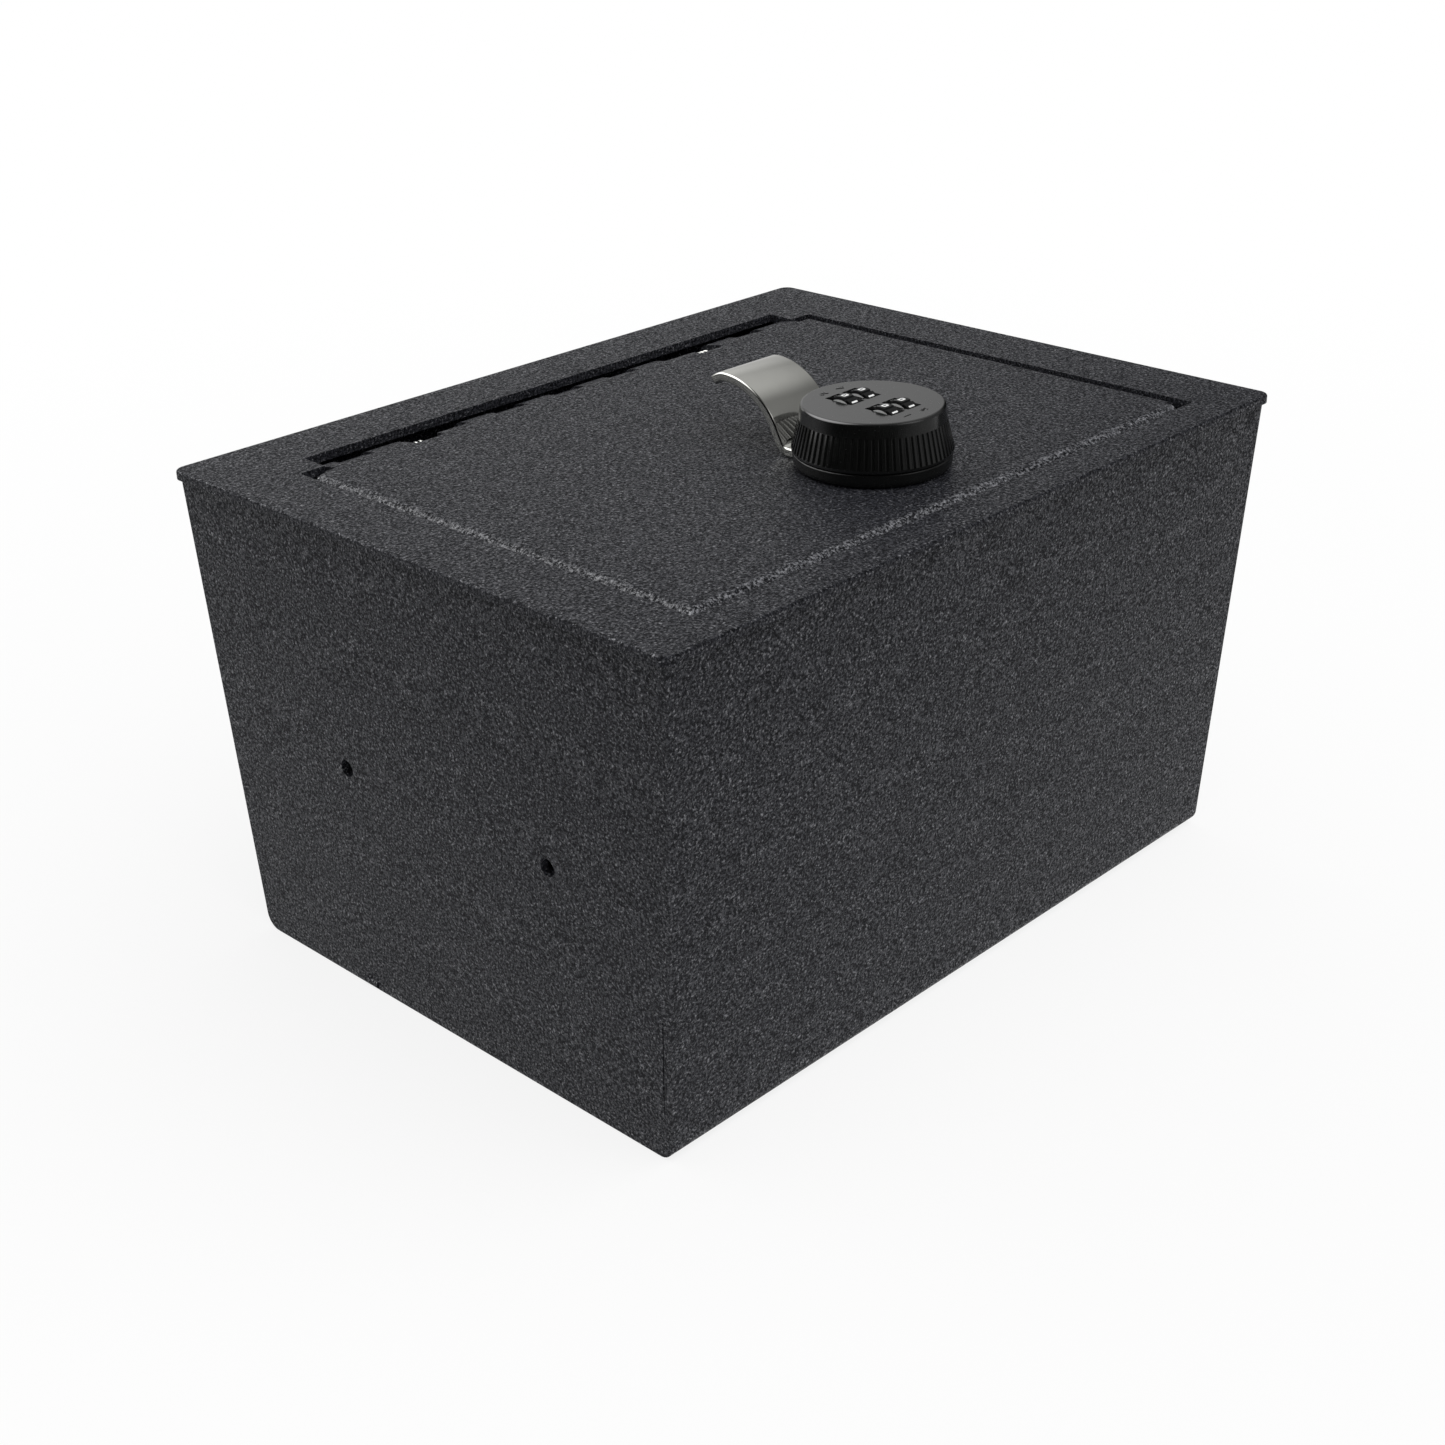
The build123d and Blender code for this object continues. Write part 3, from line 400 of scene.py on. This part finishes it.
def powder_coat(name, coat, folds=()):
    """Black textured powder: matt hollows with painted shade, glossier grains painted lighter, painted
    glints as bright flecks, and a few painted specks.
    Each fold is an axis, the place of a sheet's edge on it, and the strength of the painted highlight on
    the grains there, where the thin powder is also glossier."""
    finish = Finish.material(name)
    point = finish.place()
    swell = finish.noise(point, coat.grain, 4.0, 0.78)
    fleck = finish.spread(finish.noise(point, 0.75 * coat.grain, 1.0, 0.5), 0.56, 0.78)
    crest = finish.spread(swell, 0.40, 0.62)
    peaks = finish.spread(swell, 0.46, 0.70)
    sparse = 1.6 * coat.grain
    chosen = finish.red(finish.cells(point, sparse, "Color")) < coat.specks
    specks = chosen * finish.spread(finish.cells(point, sparse, "Distance"), 0.30, 0.12)
    # Painted glints: the flecks on the grains and the few specks are painted bright in the base colour.
    bright = fleck * (crest * 0.5 + 0.2) + specks * 0.3
    weight = peaks * 0.75 + fleck * 0.5
    for axis, edge, wear in folds:
        across = finish.node("ShaderNodeSeparateXYZ", inputs={"Vector": point}, output=axis)
        near = finish.spread(across, edge + 1.8 * coat.fold, edge + coat.fold)
        fold = near * (peaks * 0.85 + crest * 0.15)
        # Painted highlight: the fold's grains are painted brighter by the fold's share.
        bright = bright + fold * wear
        weight = weight + fold
    # Base colour: painted shade in the hollows, painted highlight on the grains, and painted glints on the
    # flecks, specks and folds.
    tint = finish.mix(bright.capped(), finish.mix(crest, coat.low, coat.high), coat.speck)
    return finish.surface(
        base_color=tint,
        roughness=coat.roughness + 0.1 + (1 - crest) * 0.2,
        specular_ior_level=0.08,
        coat_weight=weight.capped(),
        coat_roughness=coat.roughness,
        normal=finish.bump(swell + fleck * 0.3, coat.relief, 1.0),
    )


def chrome_plate(handle):
    """Polished chrome with faint waves from the press, hairline scratches and a few pits."""
    finish = Finish.material("chrome_plate")
    point = finish.place()
    waves = finish.noise(point, 9 * MM, 1.0)
    lines = finish.noise(finish.stretched(point, (14.0, 0.6, 0.6)), 2.5 * MM, 3.0, 0.7)
    pit_cells = finish.red(finish.cells(point, 2.6 * MM, "Color")) < 0.035
    pits = pit_cells * finish.spread(finish.cells(point, 2.6 * MM, "Distance"), 0.16, 0.08)
    bloom = finish.noise(point, 5 * MM, 3.0)
    tint = finish.mix(bloom * 0.35, handle.colour, tuple(0.82 * c for c in handle.colour))
    tint = finish.mix(pits, tint, (0.85, 0.85, 0.85))
    return finish.surface(
        base_color=tint,
        metallic=1.0,
        roughness=handle.roughness + bloom * 0.05 + pits * 0.4,
        normal=finish.bump(waves + lines * 0.012 + pits * 0.05, 0.10 * MM, 0.5),
    )


def moulded_black(name, tint, roughness, relief, shine):
    """Black moulding with a faint flow mottle and a fine skin texture."""
    finish = Finish.material(name)
    point = finish.place()
    flow = finish.noise(point, 6 * MM, 2.0)
    skin = finish.noise(point, 0.22 * MM, 2.0, 0.6)
    dust = finish.spread(finish.noise(point, 0.5 * MM, 1.0), 0.70, 0.80)
    return finish.surface(
        base_color=finish.mix(flow * 0.5 + dust * 0.2, tint, tuple(2.2 * c + 0.002 for c in tint)),
        roughness=roughness + flow * 0.05 + dust * 0.15,
        specular_ior_level=shine,
        normal=finish.bump(skin, relief, 0.6),
    )


def white_ink(wheel):
    """White print and moulding, a little grey where fingers turn it."""
    finish = Finish.material("white_ink")
    point = finish.place()
    wear = finish.noise(point, 1.1 * MM, 3.0, 0.6)
    grime = finish.spread(wear, 0.55, 0.85)
    return finish.surface(
        base_color=finish.mix(grime * 0.5, wheel.ink, tuple(0.62 * c for c in wheel.ink)),
        roughness=0.42 + grime * 0.2,
        normal=finish.bump(wear, 0.02 * MM, 0.4),
    )


def bright_steel(name, tint, roughness, stretch):
    """Bare steel with fine marks that run along the way it was ground or drawn."""
    finish = Finish.material(name)
    point = finish.place()
    marks = finish.noise(finish.stretched(point, stretch), 0.7 * MM, 3.0, 0.65)
    stain = finish.noise(point, 5 * MM, 2.0)
    return finish.surface(
        base_color=finish.mix(marks * 0.4 + stain * 0.3, tint, tuple(0.7 * c for c in tint)),
        metallic=1.0,
        roughness=roughness + marks * 0.12,
        normal=finish.bump(marks, 0.03 * MM, 0.4),
    )


def zinc_plate(metal):
    """Zinc plate: pale grey, with the faint cloudy bloom of a dipped finish."""
    finish = Finish.material("zinc_plate")
    point = finish.place()
    bloom = finish.noise(point, 3.2 * MM, 4.0, 0.6)
    fine = finish.noise(point, 0.4 * MM, 2.0)
    return finish.surface(
        base_color=finish.mix(bloom, metal.dull_plate, metal.bright_plate),
        metallic=1.0,
        roughness=0.3 + bloom * 0.2,
        normal=finish.bump(fine, 0.02 * MM, 0.4),
    )


def ray_kinds(finish):
    """Three values, each 1 for rays of one kind: from the camera, off gloss, and through glass."""
    kinds = ("Is Camera Ray", "Is Glossy Ray", "Is Transmission Ray")
    return [finish.node("ShaderNodeLightPath", output=kind) for kind in kinds]


def floor_paper(stage):
    """Pale paper that keeps the shadow near the object and fades to white further off."""
    finish = Finish.material("floor_paper")
    fibres = finish.noise(finish.place(), 30 * MM, 3.0)
    tint = finish.mix(fibres * 0.3, stage.floor_colour, tuple(0.97 * c for c in stage.floor_colour))
    paper = finish.node("ShaderNodeBsdfDiffuse", {}, {"Color": tint}, "BSDF")
    glow = finish.node("ShaderNodeEmission", {}, {"Color": (1, 1, 1), "Strength": 1.0}, "Emission")
    away = finish.node("ShaderNodeVectorMath", {"operation": "LENGTH"}, {0: finish.place()}, "Value")
    near, far = 0.15 * stage.floor_width, 0.48 * stage.floor_width
    glow_share = finish.spread(away, near, far, stage.floor_glow, 1.0)
    camera, gloss, sent_on = ray_kinds(finish)
    shown = (camera + gloss + sent_on).capped() * glow_share
    mixed = finish.node("ShaderNodeMixShader", {}, {0: shown, 1: paper, 2: glow}, "Shader")
    finish.node("ShaderNodeOutputMaterial", {}, {"Surface": mixed})
    return finish.owner


def coat_object(obj, material):
    """Puts one material on every slot of an object."""
    if not obj.material_slots:
        obj.data.materials.append(material)
    for slot in obj.material_slots:
        slot.material = material


# ---------------------------------------------------------------------------
# Surfaces
# ---------------------------------------------------------------------------


class Surface:
    """Vertices and faces that grow one patch at a time and end as one mesh object."""

    def __init__(self):
        self.points = []
        self.faces = []
        self.count = 0

    def grid(self, points, wrap_rows=False, wrap_columns=False, caps=False):
        """Adds a grid of points, rows by columns by 3, with a face between each four neighbours.
        A wrapped direction joins its last line to its first. Caps close the first and last rows."""
        rows, columns = points.shape[:2]
        index = self.count + np.arange(rows * columns).reshape(rows, columns)
        if wrap_rows:
            index = np.vstack([index, index[:1]])
        if wrap_columns:
            index = np.hstack([index, index[:, :1]])
        quads = np.stack([index[:-1, :-1], index[:-1, 1:], index[1:, 1:], index[1:, :-1]], axis=-1)
        self.faces += quads.reshape(-1, 4).tolist()
        if caps:
            first, last = index[0, :columns], index[-1, :columns]
            self.faces += [first[::-1].tolist(), last.tolist()]
        self.points.append(points.reshape(-1, 3))
        self.count += rows * columns

    def finish(self, name, material, smooth=True):
        """Makes the mesh object."""
        mesh = bpy.data.meshes.new(name)
        mesh.from_pydata(np.concatenate(self.points).tolist(), [], self.faces)
        mesh.update()
        mesh.polygons.foreach_set("use_smooth", np.full(len(mesh.polygons), smooth))
        mesh.materials.append(material)
        obj = bpy.data.objects.new(name, mesh)
        bpy.context.scene.collection.objects.link(obj)
        return obj


def along(path, closed):
    """Unit directions along a path of points, from the chord between each point's neighbours."""
    if closed:
        chord = np.roll(path, -1, axis=0) - np.roll(path, 1, axis=0)
    else:
        chord = np.gradient(path, axis=0)
    return chord / np.linalg.norm(chord, axis=1, keepdims=True)


# ---------------------------------------------------------------------------
# Numbers
# ---------------------------------------------------------------------------


def arc(x, y, width, height, start, end, steps=25):
    """Points on an ellipse round x, y: half width times the cosine and half height times the sine."""
    turn = np.radians(np.linspace(start, end, steps))
    return np.stack([x + width / 2 * np.cos(turn), y + height / 2 * np.sin(turn)], axis=1)


def run(*corners):
    """Points along straight runs between corners, nine to a run."""
    corners = np.array(corners, float)
    steps = np.linspace(0, 1, 9)[:, None]
    return np.concatenate([a + (b - a) * steps for a, b in zip(corners, corners[1:])])


def squared_ring(x, y, width, height, squareness=0.38, steps=48):
    """Points on a ring between an oval and a box: the cosine and the sine, each raised to a power below
    1 with its sign kept, times half the width and half the height."""
    turn = np.linspace(0, 2 * math.pi, steps, endpoint=False)
    across, up = (np.sign(wave) * np.abs(wave) ** squareness for wave in (np.cos(turn), np.sin(turn)))
    return np.stack([x + width / 2 * across, y + height / 2 * up], axis=1)


def digit_strokes(digit):
    """Centre lines of one digit in a box 1 wide and 1 high, as (points, closed) pairs."""
    hook = arc(0.5, 0.7, 0.96, 0.6, 165, -38)
    six = np.concatenate([arc(0.55, 0.5, 1.1, 1.0, 70, 180, 19), arc(0.5, 0.3, 1.0, 0.6, 180, 540, 37)[1:]])
    strokes = {
        0: [(squared_ring(0.5, 0.5, 1.0, 1.0), True)],
        1: [(run((0.5, 0.0), (0.5, 1.0)), False)],
        2: [(np.concatenate([hook, run((0.85, 0.5), (0.02, 0.0)), run((0.02, 0.0), (1.0, 0.0))]), False)],
        3: [
            (arc(0.48, 0.76, 0.86, 0.48, 155, -90, 25), False),
            (arc(0.48, 0.26, 0.96, 0.52, 90, -155, 25), False),
        ],
        4: [
            (run((0.7, 0.0), (0.7, 1.0)), False),
            (run((0.7, 1.0), (0.0, 0.3)), False),
            (run((0.0, 0.3), (1.0, 0.3)), False),
        ],
        5: [
            (run((0.9, 1.0), (0.15, 1.0)), False),
            (run((0.15, 1.0), (0.1, 0.55)), False),
            (arc(0.46, 0.31, 1.0, 0.62, 135, -150, 29), False),
        ],
        6: [(six, False)],
        7: [(run((0.0, 1.0), (1.0, 1.0)), False), (run((1.0, 1.0), (0.38, 0.0)), False)],
        8: [
            (arc(0.5, 0.76, 0.84, 0.48, 90, 450, 33)[:-1], True),
            (arc(0.5, 0.26, 1.0, 0.52, 90, 450, 33)[:-1], True),
        ],
        9: [(1.0 - six, False)],
    }
    return strokes[digit]


def add_digit(surface, digit, width, height, stroke, relief, sink, place):
    """Adds a digit's strokes as low bars with rounded shoulders. A bar's section, six points across the
    stroke, is carried along its centre line, and place turns flat across, up and level into space."""
    across = np.array([-0.5, -0.5, -0.38, 0.38, 0.5, 0.5]) * stroke
    level = np.array([-sink, 0.55 * relief, relief, relief, 0.55 * relief, -sink])
    inner = np.array([width - stroke, height - stroke])
    for path, closed in digit_strokes(digit):
        path = (path - 0.5) * inner
        keep = np.ones(len(path), bool)
        keep[1:] = np.linalg.norm(np.diff(path, axis=0), axis=1) > 1e-9
        path = path[keep]
        heading = along(path, closed)
        if not closed:
            path[0] -= heading[0] * stroke / 2
            path[-1] += heading[-1] * stroke / 2
        side = np.stack([-heading[:, 1], heading[:, 0]], axis=1)
        flat = path[:, None, :] + side[:, None, :] * across[None, :, None]
        points = place(flat[..., 0], flat[..., 1], np.broadcast_to(level, flat.shape[:2]))
        surface.grid(points, wrap_rows=closed, wrap_columns=True, caps=not closed)


# ---------------------------------------------------------------------------
# Pieces
# ---------------------------------------------------------------------------


def settings():
    """The scene's cash box settings."""
    return bpy.context.scene.cash_box


def middle(node):
    """Middle of a node's box, and its size."""
    low, high = (np.array(corner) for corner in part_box(node))
    return (low + high) / 2, high - low


class CASHBOX_OT_sheet_metal(bpy.types.Operator):
    """Powder coat on the box, the rim, the lid and the hinge"""

    bl_idname = "cash_box.sheet_metal"
    bl_label = "Sheet metal"

    def execute(self, context):
        coat = settings().coat
        plain = powder_coat("powder_coat", coat)
        for node in COATED:
            coat_object(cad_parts[node], plain)
        left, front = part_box("lid_panel")[0][:2]
        # Painted highlight along the lid's left and front folds, besides their glossier thin powder.
        folds = (("X", left, coat.left_fold_painted_highlight), ("Y", front, coat.front_fold_painted_highlight))
        folded = powder_coat("folded_powder_coat_painted_highlight", coat, folds)
        coat_object(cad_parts["lid_panel"], folded)
        return {"FINISHED"}


class CASHBOX_OT_small_metal(bpy.types.Operator):
    """Ground pins and the zinc plated parts under the lid"""

    bl_idname = "cash_box.small_metal"
    bl_label = "Pins and plated parts"

    def execute(self, context):
        metal = settings().metal
        ground = bright_steel("ground_steel", metal.ground, 0.22, (0.3, 1.0, 1.0))
        strip = bright_steel("strip_steel", metal.strip, 0.28, (1.0, 0.4, 1.0))
        for nodes, material in ((GROUND, ground), (PLATED, zinc_plate(metal)), (STRIP, strip)):
            for node in nodes:
                coat_object(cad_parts[node], material)
        return {"FINISHED"}


def handle_line(handle):
    """Middle line of the strip in the Y-Z plane, seen from the side: a straight foot, a bend up, a
    straight rise, an arch over and a curl down. Each stretch starts where the last one ends."""
    stretches = (
        (handle.foot - handle.start, 0.0, 6),
        (handle.bend_radius * handle.slope, handle.slope, 14),
        (handle.straight, 0.0, 4),
        (handle.arch_radius * handle.slope, -handle.slope, 40),
        (handle.curl_radius * handle.curl, -handle.curl, 20),
    )
    spans = np.concatenate([np.full(steps, reach / steps) for reach, turn, steps in stretches])
    bends = np.concatenate([np.full(steps, turn / steps) for reach, turn, steps in stretches])
    heading = np.cumsum(bends) - bends / 2
    moves = spans[:, None] * np.stack([np.cos(heading), np.sin(heading)], axis=1)
    line = np.vstack([[0, 0], np.cumsum(moves, axis=0)])
    edge_heading = np.concatenate([[0], np.cumsum(bends)])
    reach = np.concatenate([[0], np.cumsum(spans)])
    return line, edge_heading, reach


class CASHBOX_OT_finger_pull(bpy.types.Operator):
    """Chromed strip that bends up behind the knob and curls over at its tip"""

    bl_idname = "cash_box.finger_pull"
    bl_label = "Finger pull"

    def execute(self, context):
        """A rounded rectangle is carried along the strip's middle line. Near the tip it narrows as the
        corners' quarter circles do, and its own rounding shrinks to round off the end."""
        handle = settings().handle
        low, high = (np.array(corner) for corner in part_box("handle"))
        axis_x = (low[0] + high[0]) / 2
        axis_y = middle("knob_shell")[0][1]
        half_width = (high[0] - low[0]) / 2
        line, heading, reach = handle_line(handle)
        left = reach[-1] - reach
        corner = handle.corner_radius
        edge = handle.edge_radius
        near = np.linspace(0, 1, 12)[1:-1]
        stations = np.unique(np.concatenate([left, near * corner, near**2 * edge]))[::-1]
        line = np.stack([np.interp(-stations, -left, line[:, i]) for i in (0, 1)], axis=1)
        heading = np.interp(-stations, -left, heading)
        inset = corner - np.sqrt(np.maximum(corner**2 - (corner - np.minimum(stations, corner)) ** 2, 0))
        rounding = np.sqrt(edge**2 - (edge - np.clip(stations, 0.02 * edge, edge)) ** 2)[:, None]
        half_thick = handle.thickness / 2
        turn = (np.linspace(0, math.pi / 2, 6) + np.arange(4)[:, None] * math.pi / 2).ravel()
        sign_x = np.repeat([1, -1, -1, 1], 6)
        sign_z = np.repeat([1, 1, -1, -1], 6)
        across = sign_x * (half_width - inset[:, None] - edge) + rounding * np.cos(turn)
        level = sign_z * (half_thick - edge) + rounding * np.sin(turn)
        normal = np.stack([-np.sin(heading), np.cos(heading)], axis=1)
        points = np.stack(
            [
                axis_x + across,
                axis_y + handle.start + line[:, :1] + normal[:, :1] * level,
                low[2] + half_thick + line[:, 1:] + normal[:, 1:] * level,
            ],
            axis=-1,
        )
        surface = Surface()
        surface.grid(points[:, ::-1], wrap_columns=True, caps=True)
        pull = surface.finish("finger_pull", chrome_plate(handle))
        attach(pull, "lid")
        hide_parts("handle")
        return {"FINISHED"}


class CASHBOX_OT_knob(bpy.types.Operator):
    """Black finish on the knob and the lock, and the marks 1 to 4 on the knob's face"""

    bl_idname = "cash_box.knob"
    bl_label = "Knob and lock"

    def execute(self, context):
        knob = settings().knob
        gloss = moulded_black("knob_black", knob.colour, knob.roughness, 0.004 * MM, 0.8)
        base = tuple(0.8 * c for c in knob.colour)
        dull = moulded_black("lock_black", base, knob.roughness + 0.1, 0.01 * MM, 0.4)
        coat_object(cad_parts["knob_shell"], gloss)
        coat_object(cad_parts["lock_body"], dull)
        coat_object(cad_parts["lock_core"], dull)
        centre, size = middle("knob_shell")
        top = centre[2] + size[2] / 2
        surface = Surface()
        for digit, wheel, side in ((1, 3, -1), (2, 1, 1), (3, 4, -1), (4, 2, 1)):
            column = middle(f"number_wheel_{wheel}")[0][0]
            row = centre[1] + side * knob.mark_reach

            def place(across, up, level, column=column, row=row):
                """The digit's top points to -X, and it reads towards +Y."""
                return np.stack([column - up, row + across, top + level], axis=-1)

            add_digit(
                surface, digit, 0.62 * knob.mark_height, knob.mark_height, knob.mark_stroke,
                knob.mark_relief, 0.3 * knob.mark_relief, place,
            )
        marks = surface.finish("position_marks", gloss)
        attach(marks, "knob")
        return {"FINISHED"}


class CASHBOX_OT_number_wheels(bpy.types.Operator):
    """White numbers 0 to 9 and white cores on the four black wheels"""

    bl_idname = "cash_box.number_wheels"
    bl_label = "Number wheels"

    def execute(self, context):
        wheel = settings().wheel
        black = moulded_black("wheel_black", wheel.colour, 0.28, 0.004 * MM, 0.15)
        white = white_ink(wheel)
        for number in WHEELS:
            node = f"number_wheel_{number}"
            coat_object(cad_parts[node], black)
            centre, size = middle(node)
            radius, half = size[2] / 2, size[0] / 2
            surface = Surface()
            for digit in range(wheel.digits):
                turn = 2 * math.pi * digit / wheel.digits

                def place(across, up, level, turn=turn):
                    """Wraps the flat digit round the wheel: across becomes an angle about the axle."""
                    around = turn - across / radius
                    out = radius + level
                    back, height = -out * np.sin(around), out * np.cos(around)
                    return np.stack([centre[0] - up, centre[1] + back, centre[2] + height], axis=-1)

                add_digit(
                    surface, digit, wheel.digit_width, wheel.digit_height, wheel.stroke,
                    wheel.relief, 2 * wheel.relief, place,
                )
            # Each core shows as a thin ring on both sides: a low rectangle turned round the axle
            around = np.linspace(0, 2 * math.pi, RING_STEPS, endpoint=False)[:, None]
            outer = radius - wheel.skin
            for side in (-1, 1):
                reach = np.array([wheel.core_bore, wheel.core_bore, outer, outer])[::side]
                depth = side * (half + np.array([-1, 1, 1, -1])[::side] * wheel.relief)
                ring = np.stack(
                    [
                        np.broadcast_to(centre[0] + depth, (RING_STEPS, 4)),
                        centre[1] + reach * np.cos(around),
                        centre[2] + reach * np.sin(around),
                    ],
                    axis=-1,
                )
                surface.grid(ring, wrap_rows=True, wrap_columns=True)
            numbers = surface.finish(f"wheel_numbers_{number}", white, smooth=False)
            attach(numbers, f"wheel_{number}")
        return {"FINISHED"}


def tangent_turn(radius, reach_y, reach_z, sense):
    """Angle on the coil where a straight leg through a point beside it leaves the circle."""
    distance = math.hypot(reach_y, reach_z)
    return math.atan2(reach_z, reach_y) + sense * math.acos(radius / distance)


class CASHBOX_OT_springs(bpy.types.Operator):
    """Torsion springs on the hinge pin"""

    bl_idname = "cash_box.springs"
    bl_label = "Springs"

    def execute(self, context):
        """A circle is carried along the wire's middle line: a leg under the lid, a helix round the pin
        whose angle and rise grow together, and a leg down the leaf."""
        spring = settings().spring
        steel = bright_steel("spring_steel", settings().metal.wire, 0.2, (1.0, 1.0, 0.5))
        pin, pin_size = middle("hinge_pin")
        pin_radius = pin_size[2] / 2
        wire = spring.wire / 2
        radius = spring.coil_radius
        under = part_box("rim_plate")[0][2] - pin[2]
        lid_leg = (-spring.lid_reach, under - wire - spring.seat)
        leaf_leg = (pin_radius - wire - spring.seat, -spring.leaf_reach)
        first = tangent_turn(radius, *lid_leg, 1)
        last = tangent_turn(radius, *leaf_leg, -1)
        last += 2 * math.pi * (spring.turns + math.ceil((first - last) / (2 * math.pi)))
        for name, sense in (("spring_left", -1), ("spring_right", 1)):
            low, high = (corner[0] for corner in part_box(name))
            lid_x, leaf_x = (high - wire, low + wire) if sense < 0 else (low + wire, high - wire)
            climb = (leaf_x - lid_x) / (last - first)
            turn = np.linspace(first, last, COIL_STEPS * (spring.turns + 1))
            coil = np.stack(
                [
                    lid_x + climb * (turn - first),
                    pin[1] + radius * np.cos(turn),
                    pin[2] + radius * np.sin(turn),
                ],
                axis=1,
            )
            lid_end = np.array([lid_x, pin[1] + lid_leg[0], pin[2] + lid_leg[1]])
            leaf_end = np.array([leaf_x, pin[1] + leaf_leg[0], pin[2] + leaf_leg[1]])
            steps = np.linspace(0, 1, LEG_STEPS)[:-1, None]
            lid_run = lid_end + (coil[0] - lid_end) * steps
            leaf_run = leaf_end + (coil[-1] - leaf_end) * steps
            path = np.concatenate([lid_run, coil, leaf_run[::-1]])
            heading = along(path, closed=False)
            side = np.cross(heading, np.array([[1.0, 0, 0]]))
            side /= np.linalg.norm(side, axis=1, keepdims=True)
            over = np.cross(side, heading)
            around = np.linspace(0, 2 * math.pi, WIRE_STEPS, endpoint=False)[None, :, None]
            ring = side[:, None] * np.cos(around) + over[:, None] * np.sin(around)
            tube = path[:, None] + wire * ring
            surface = Surface()
            surface.grid(tube, wrap_columns=True, caps=True)
            coil_spring = surface.finish(f"{name}_wire", steel)
            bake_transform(coil_spring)
            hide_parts(name)
        return {"FINISHED"}


# ---------------------------------------------------------------------------
# Stage
# ---------------------------------------------------------------------------


def direction(heading, height):
    """The unit vector of a heading from +X and a height above level, both in radians."""
    level = math.cos(height)
    return (math.cos(heading) * level, math.sin(heading) * level, math.sin(height))


def room_light():
    """White surround for the camera and for rays through glass, and for the object a dim room with
    soft glows in it, which light it and show in its gloss at strengths of their own. A glow fades as a
    smooth step of the cosine of the angle from its middle."""
    world = bpy.data.worlds.new("room")
    bpy.context.scene.world = world
    finish = Finish(world)
    facing = finish.node("ShaderNodeTexCoord", output="Generated")
    light, shine = 0.0, 0.0
    for heading, height, reach, lighting, shining in GLOWS:
        towards = direction(math.radians(heading), math.radians(height))
        nearness = finish.node(
            "ShaderNodeVectorMath", {"operation": "DOT_PRODUCT"}, {0: facing, 1: towards}, "Value"
        )
        glow = finish.spread(nearness, reach, 1.0)
        light, shine = glow * lighting + light, glow * shining + shine
    camera, gloss, sent_on = ray_kinds(finish)
    white = (camera + sent_on).capped()
    strength = white + (1 - white) * (gloss * shine + (1 - gloss) * light)
    backdrop = finish.node(
        "ShaderNodeBackground", {}, {"Color": (1, 1, 1), "Strength": strength}, "Background"
    )
    finish.node("ShaderNodeOutputWorld", {}, {"Surface": backdrop})


class CASHBOX_OT_stage(bpy.types.Operator):
    """Pale floor, soft room light and the camera"""

    bl_idname = "cash_box.stage"
    bl_label = "Stage"

    def execute(self, context):
        """The floor is a square grid drawn into a disc: each of across and deep, from -1 to 1, is times
        half the width and the root of 1 less half the other's square."""
        stage = settings().stage
        half = stage.floor_width / 2
        steps = np.linspace(-1, 1, FLOOR_STEPS)
        across, deep = np.meshgrid(steps, steps)
        surface = Surface()
        surface.grid(
            np.stack(
                [
                    half * across * np.sqrt(1 - deep**2 / 2),
                    half * deep * np.sqrt(1 - across**2 / 2),
                    np.full_like(across, -stage.floor_drop),
                ],
                axis=-1,
            )
        )
        floor = surface.finish("studio_floor", floor_paper(stage), smooth=False)
        room_light()
        heading, roll = stage.camera_heading, stage.camera_roll
        ahead = Vector(direction(heading, -stage.camera_fall))
        level_right = Vector((math.sin(heading), -math.cos(heading), 0))
        level_up = level_right.cross(ahead)
        right = math.cos(roll) * level_right + math.sin(roll) * level_up
        up = math.cos(roll) * level_up - math.sin(roll) * level_right
        data = bpy.data.cameras.new("camera")
        data.lens = stage.lens
        data.sensor_width = 36.0
        data.clip_start = 0.01
        data.clip_end = 60.0
        camera = bpy.data.objects.new("camera", data)
        turned = Matrix((right, up, -ahead)).transposed().to_4x4()
        camera.matrix_world = Matrix.Translation(stage.camera_place) @ turned
        context.scene.collection.objects.link(camera)
        context.scene.camera = camera
        context.scene.view_settings.view_transform = "Standard"
        return {"FINISHED"}


class CASHBOX_PT_panel(bpy.types.Panel):
    """Lists the pieces of the cash box"""

    bl_idname = "CASHBOX_PT_panel"
    bl_label = "Cash box"
    bl_space_type = "VIEW_3D"
    bl_region_type = "UI"
    bl_category = "Cash box"

    def draw(self, context):
        for operator in OPERATORS:
            self.layout.operator(operator.bl_idname)


OPERATORS = (
    CASHBOX_OT_sheet_metal,
    CASHBOX_OT_small_metal,
    CASHBOX_OT_finger_pull,
    CASHBOX_OT_knob,
    CASHBOX_OT_number_wheels,
    CASHBOX_OT_springs,
    CASHBOX_OT_stage,
)
CLASSES = (
    CoatSettings,
    KnobSettings,
    WheelSettings,
    HandleSettings,
    SpringSettings,
    MetalSettings,
    StageSettings,
    CashBoxSettings,
    *OPERATORS,
    CASHBOX_PT_panel,
)


def register():
    """Registers the classes and the scene's settings."""
    for cls in CLASSES:
        bpy.utils.register_class(cls)
    bpy.types.Scene.cash_box = PointerProperty(type=CashBoxSettings)


def unregister():
    """Takes the settings and the classes away."""
    del bpy.types.Scene.cash_box
    for cls in reversed(CLASSES):
        bpy.utils.unregister_class(cls)


def main():
    """Dresses the box."""
    register()
    bpy.ops.cash_box.sheet_metal()
    bpy.ops.cash_box.small_metal()
    bpy.ops.cash_box.finger_pull()
    bpy.ops.cash_box.knob()
    bpy.ops.cash_box.number_wheels()
    bpy.ops.cash_box.springs()
    bpy.ops.cash_box.stage()


if __name__ == "__main__":
    main()
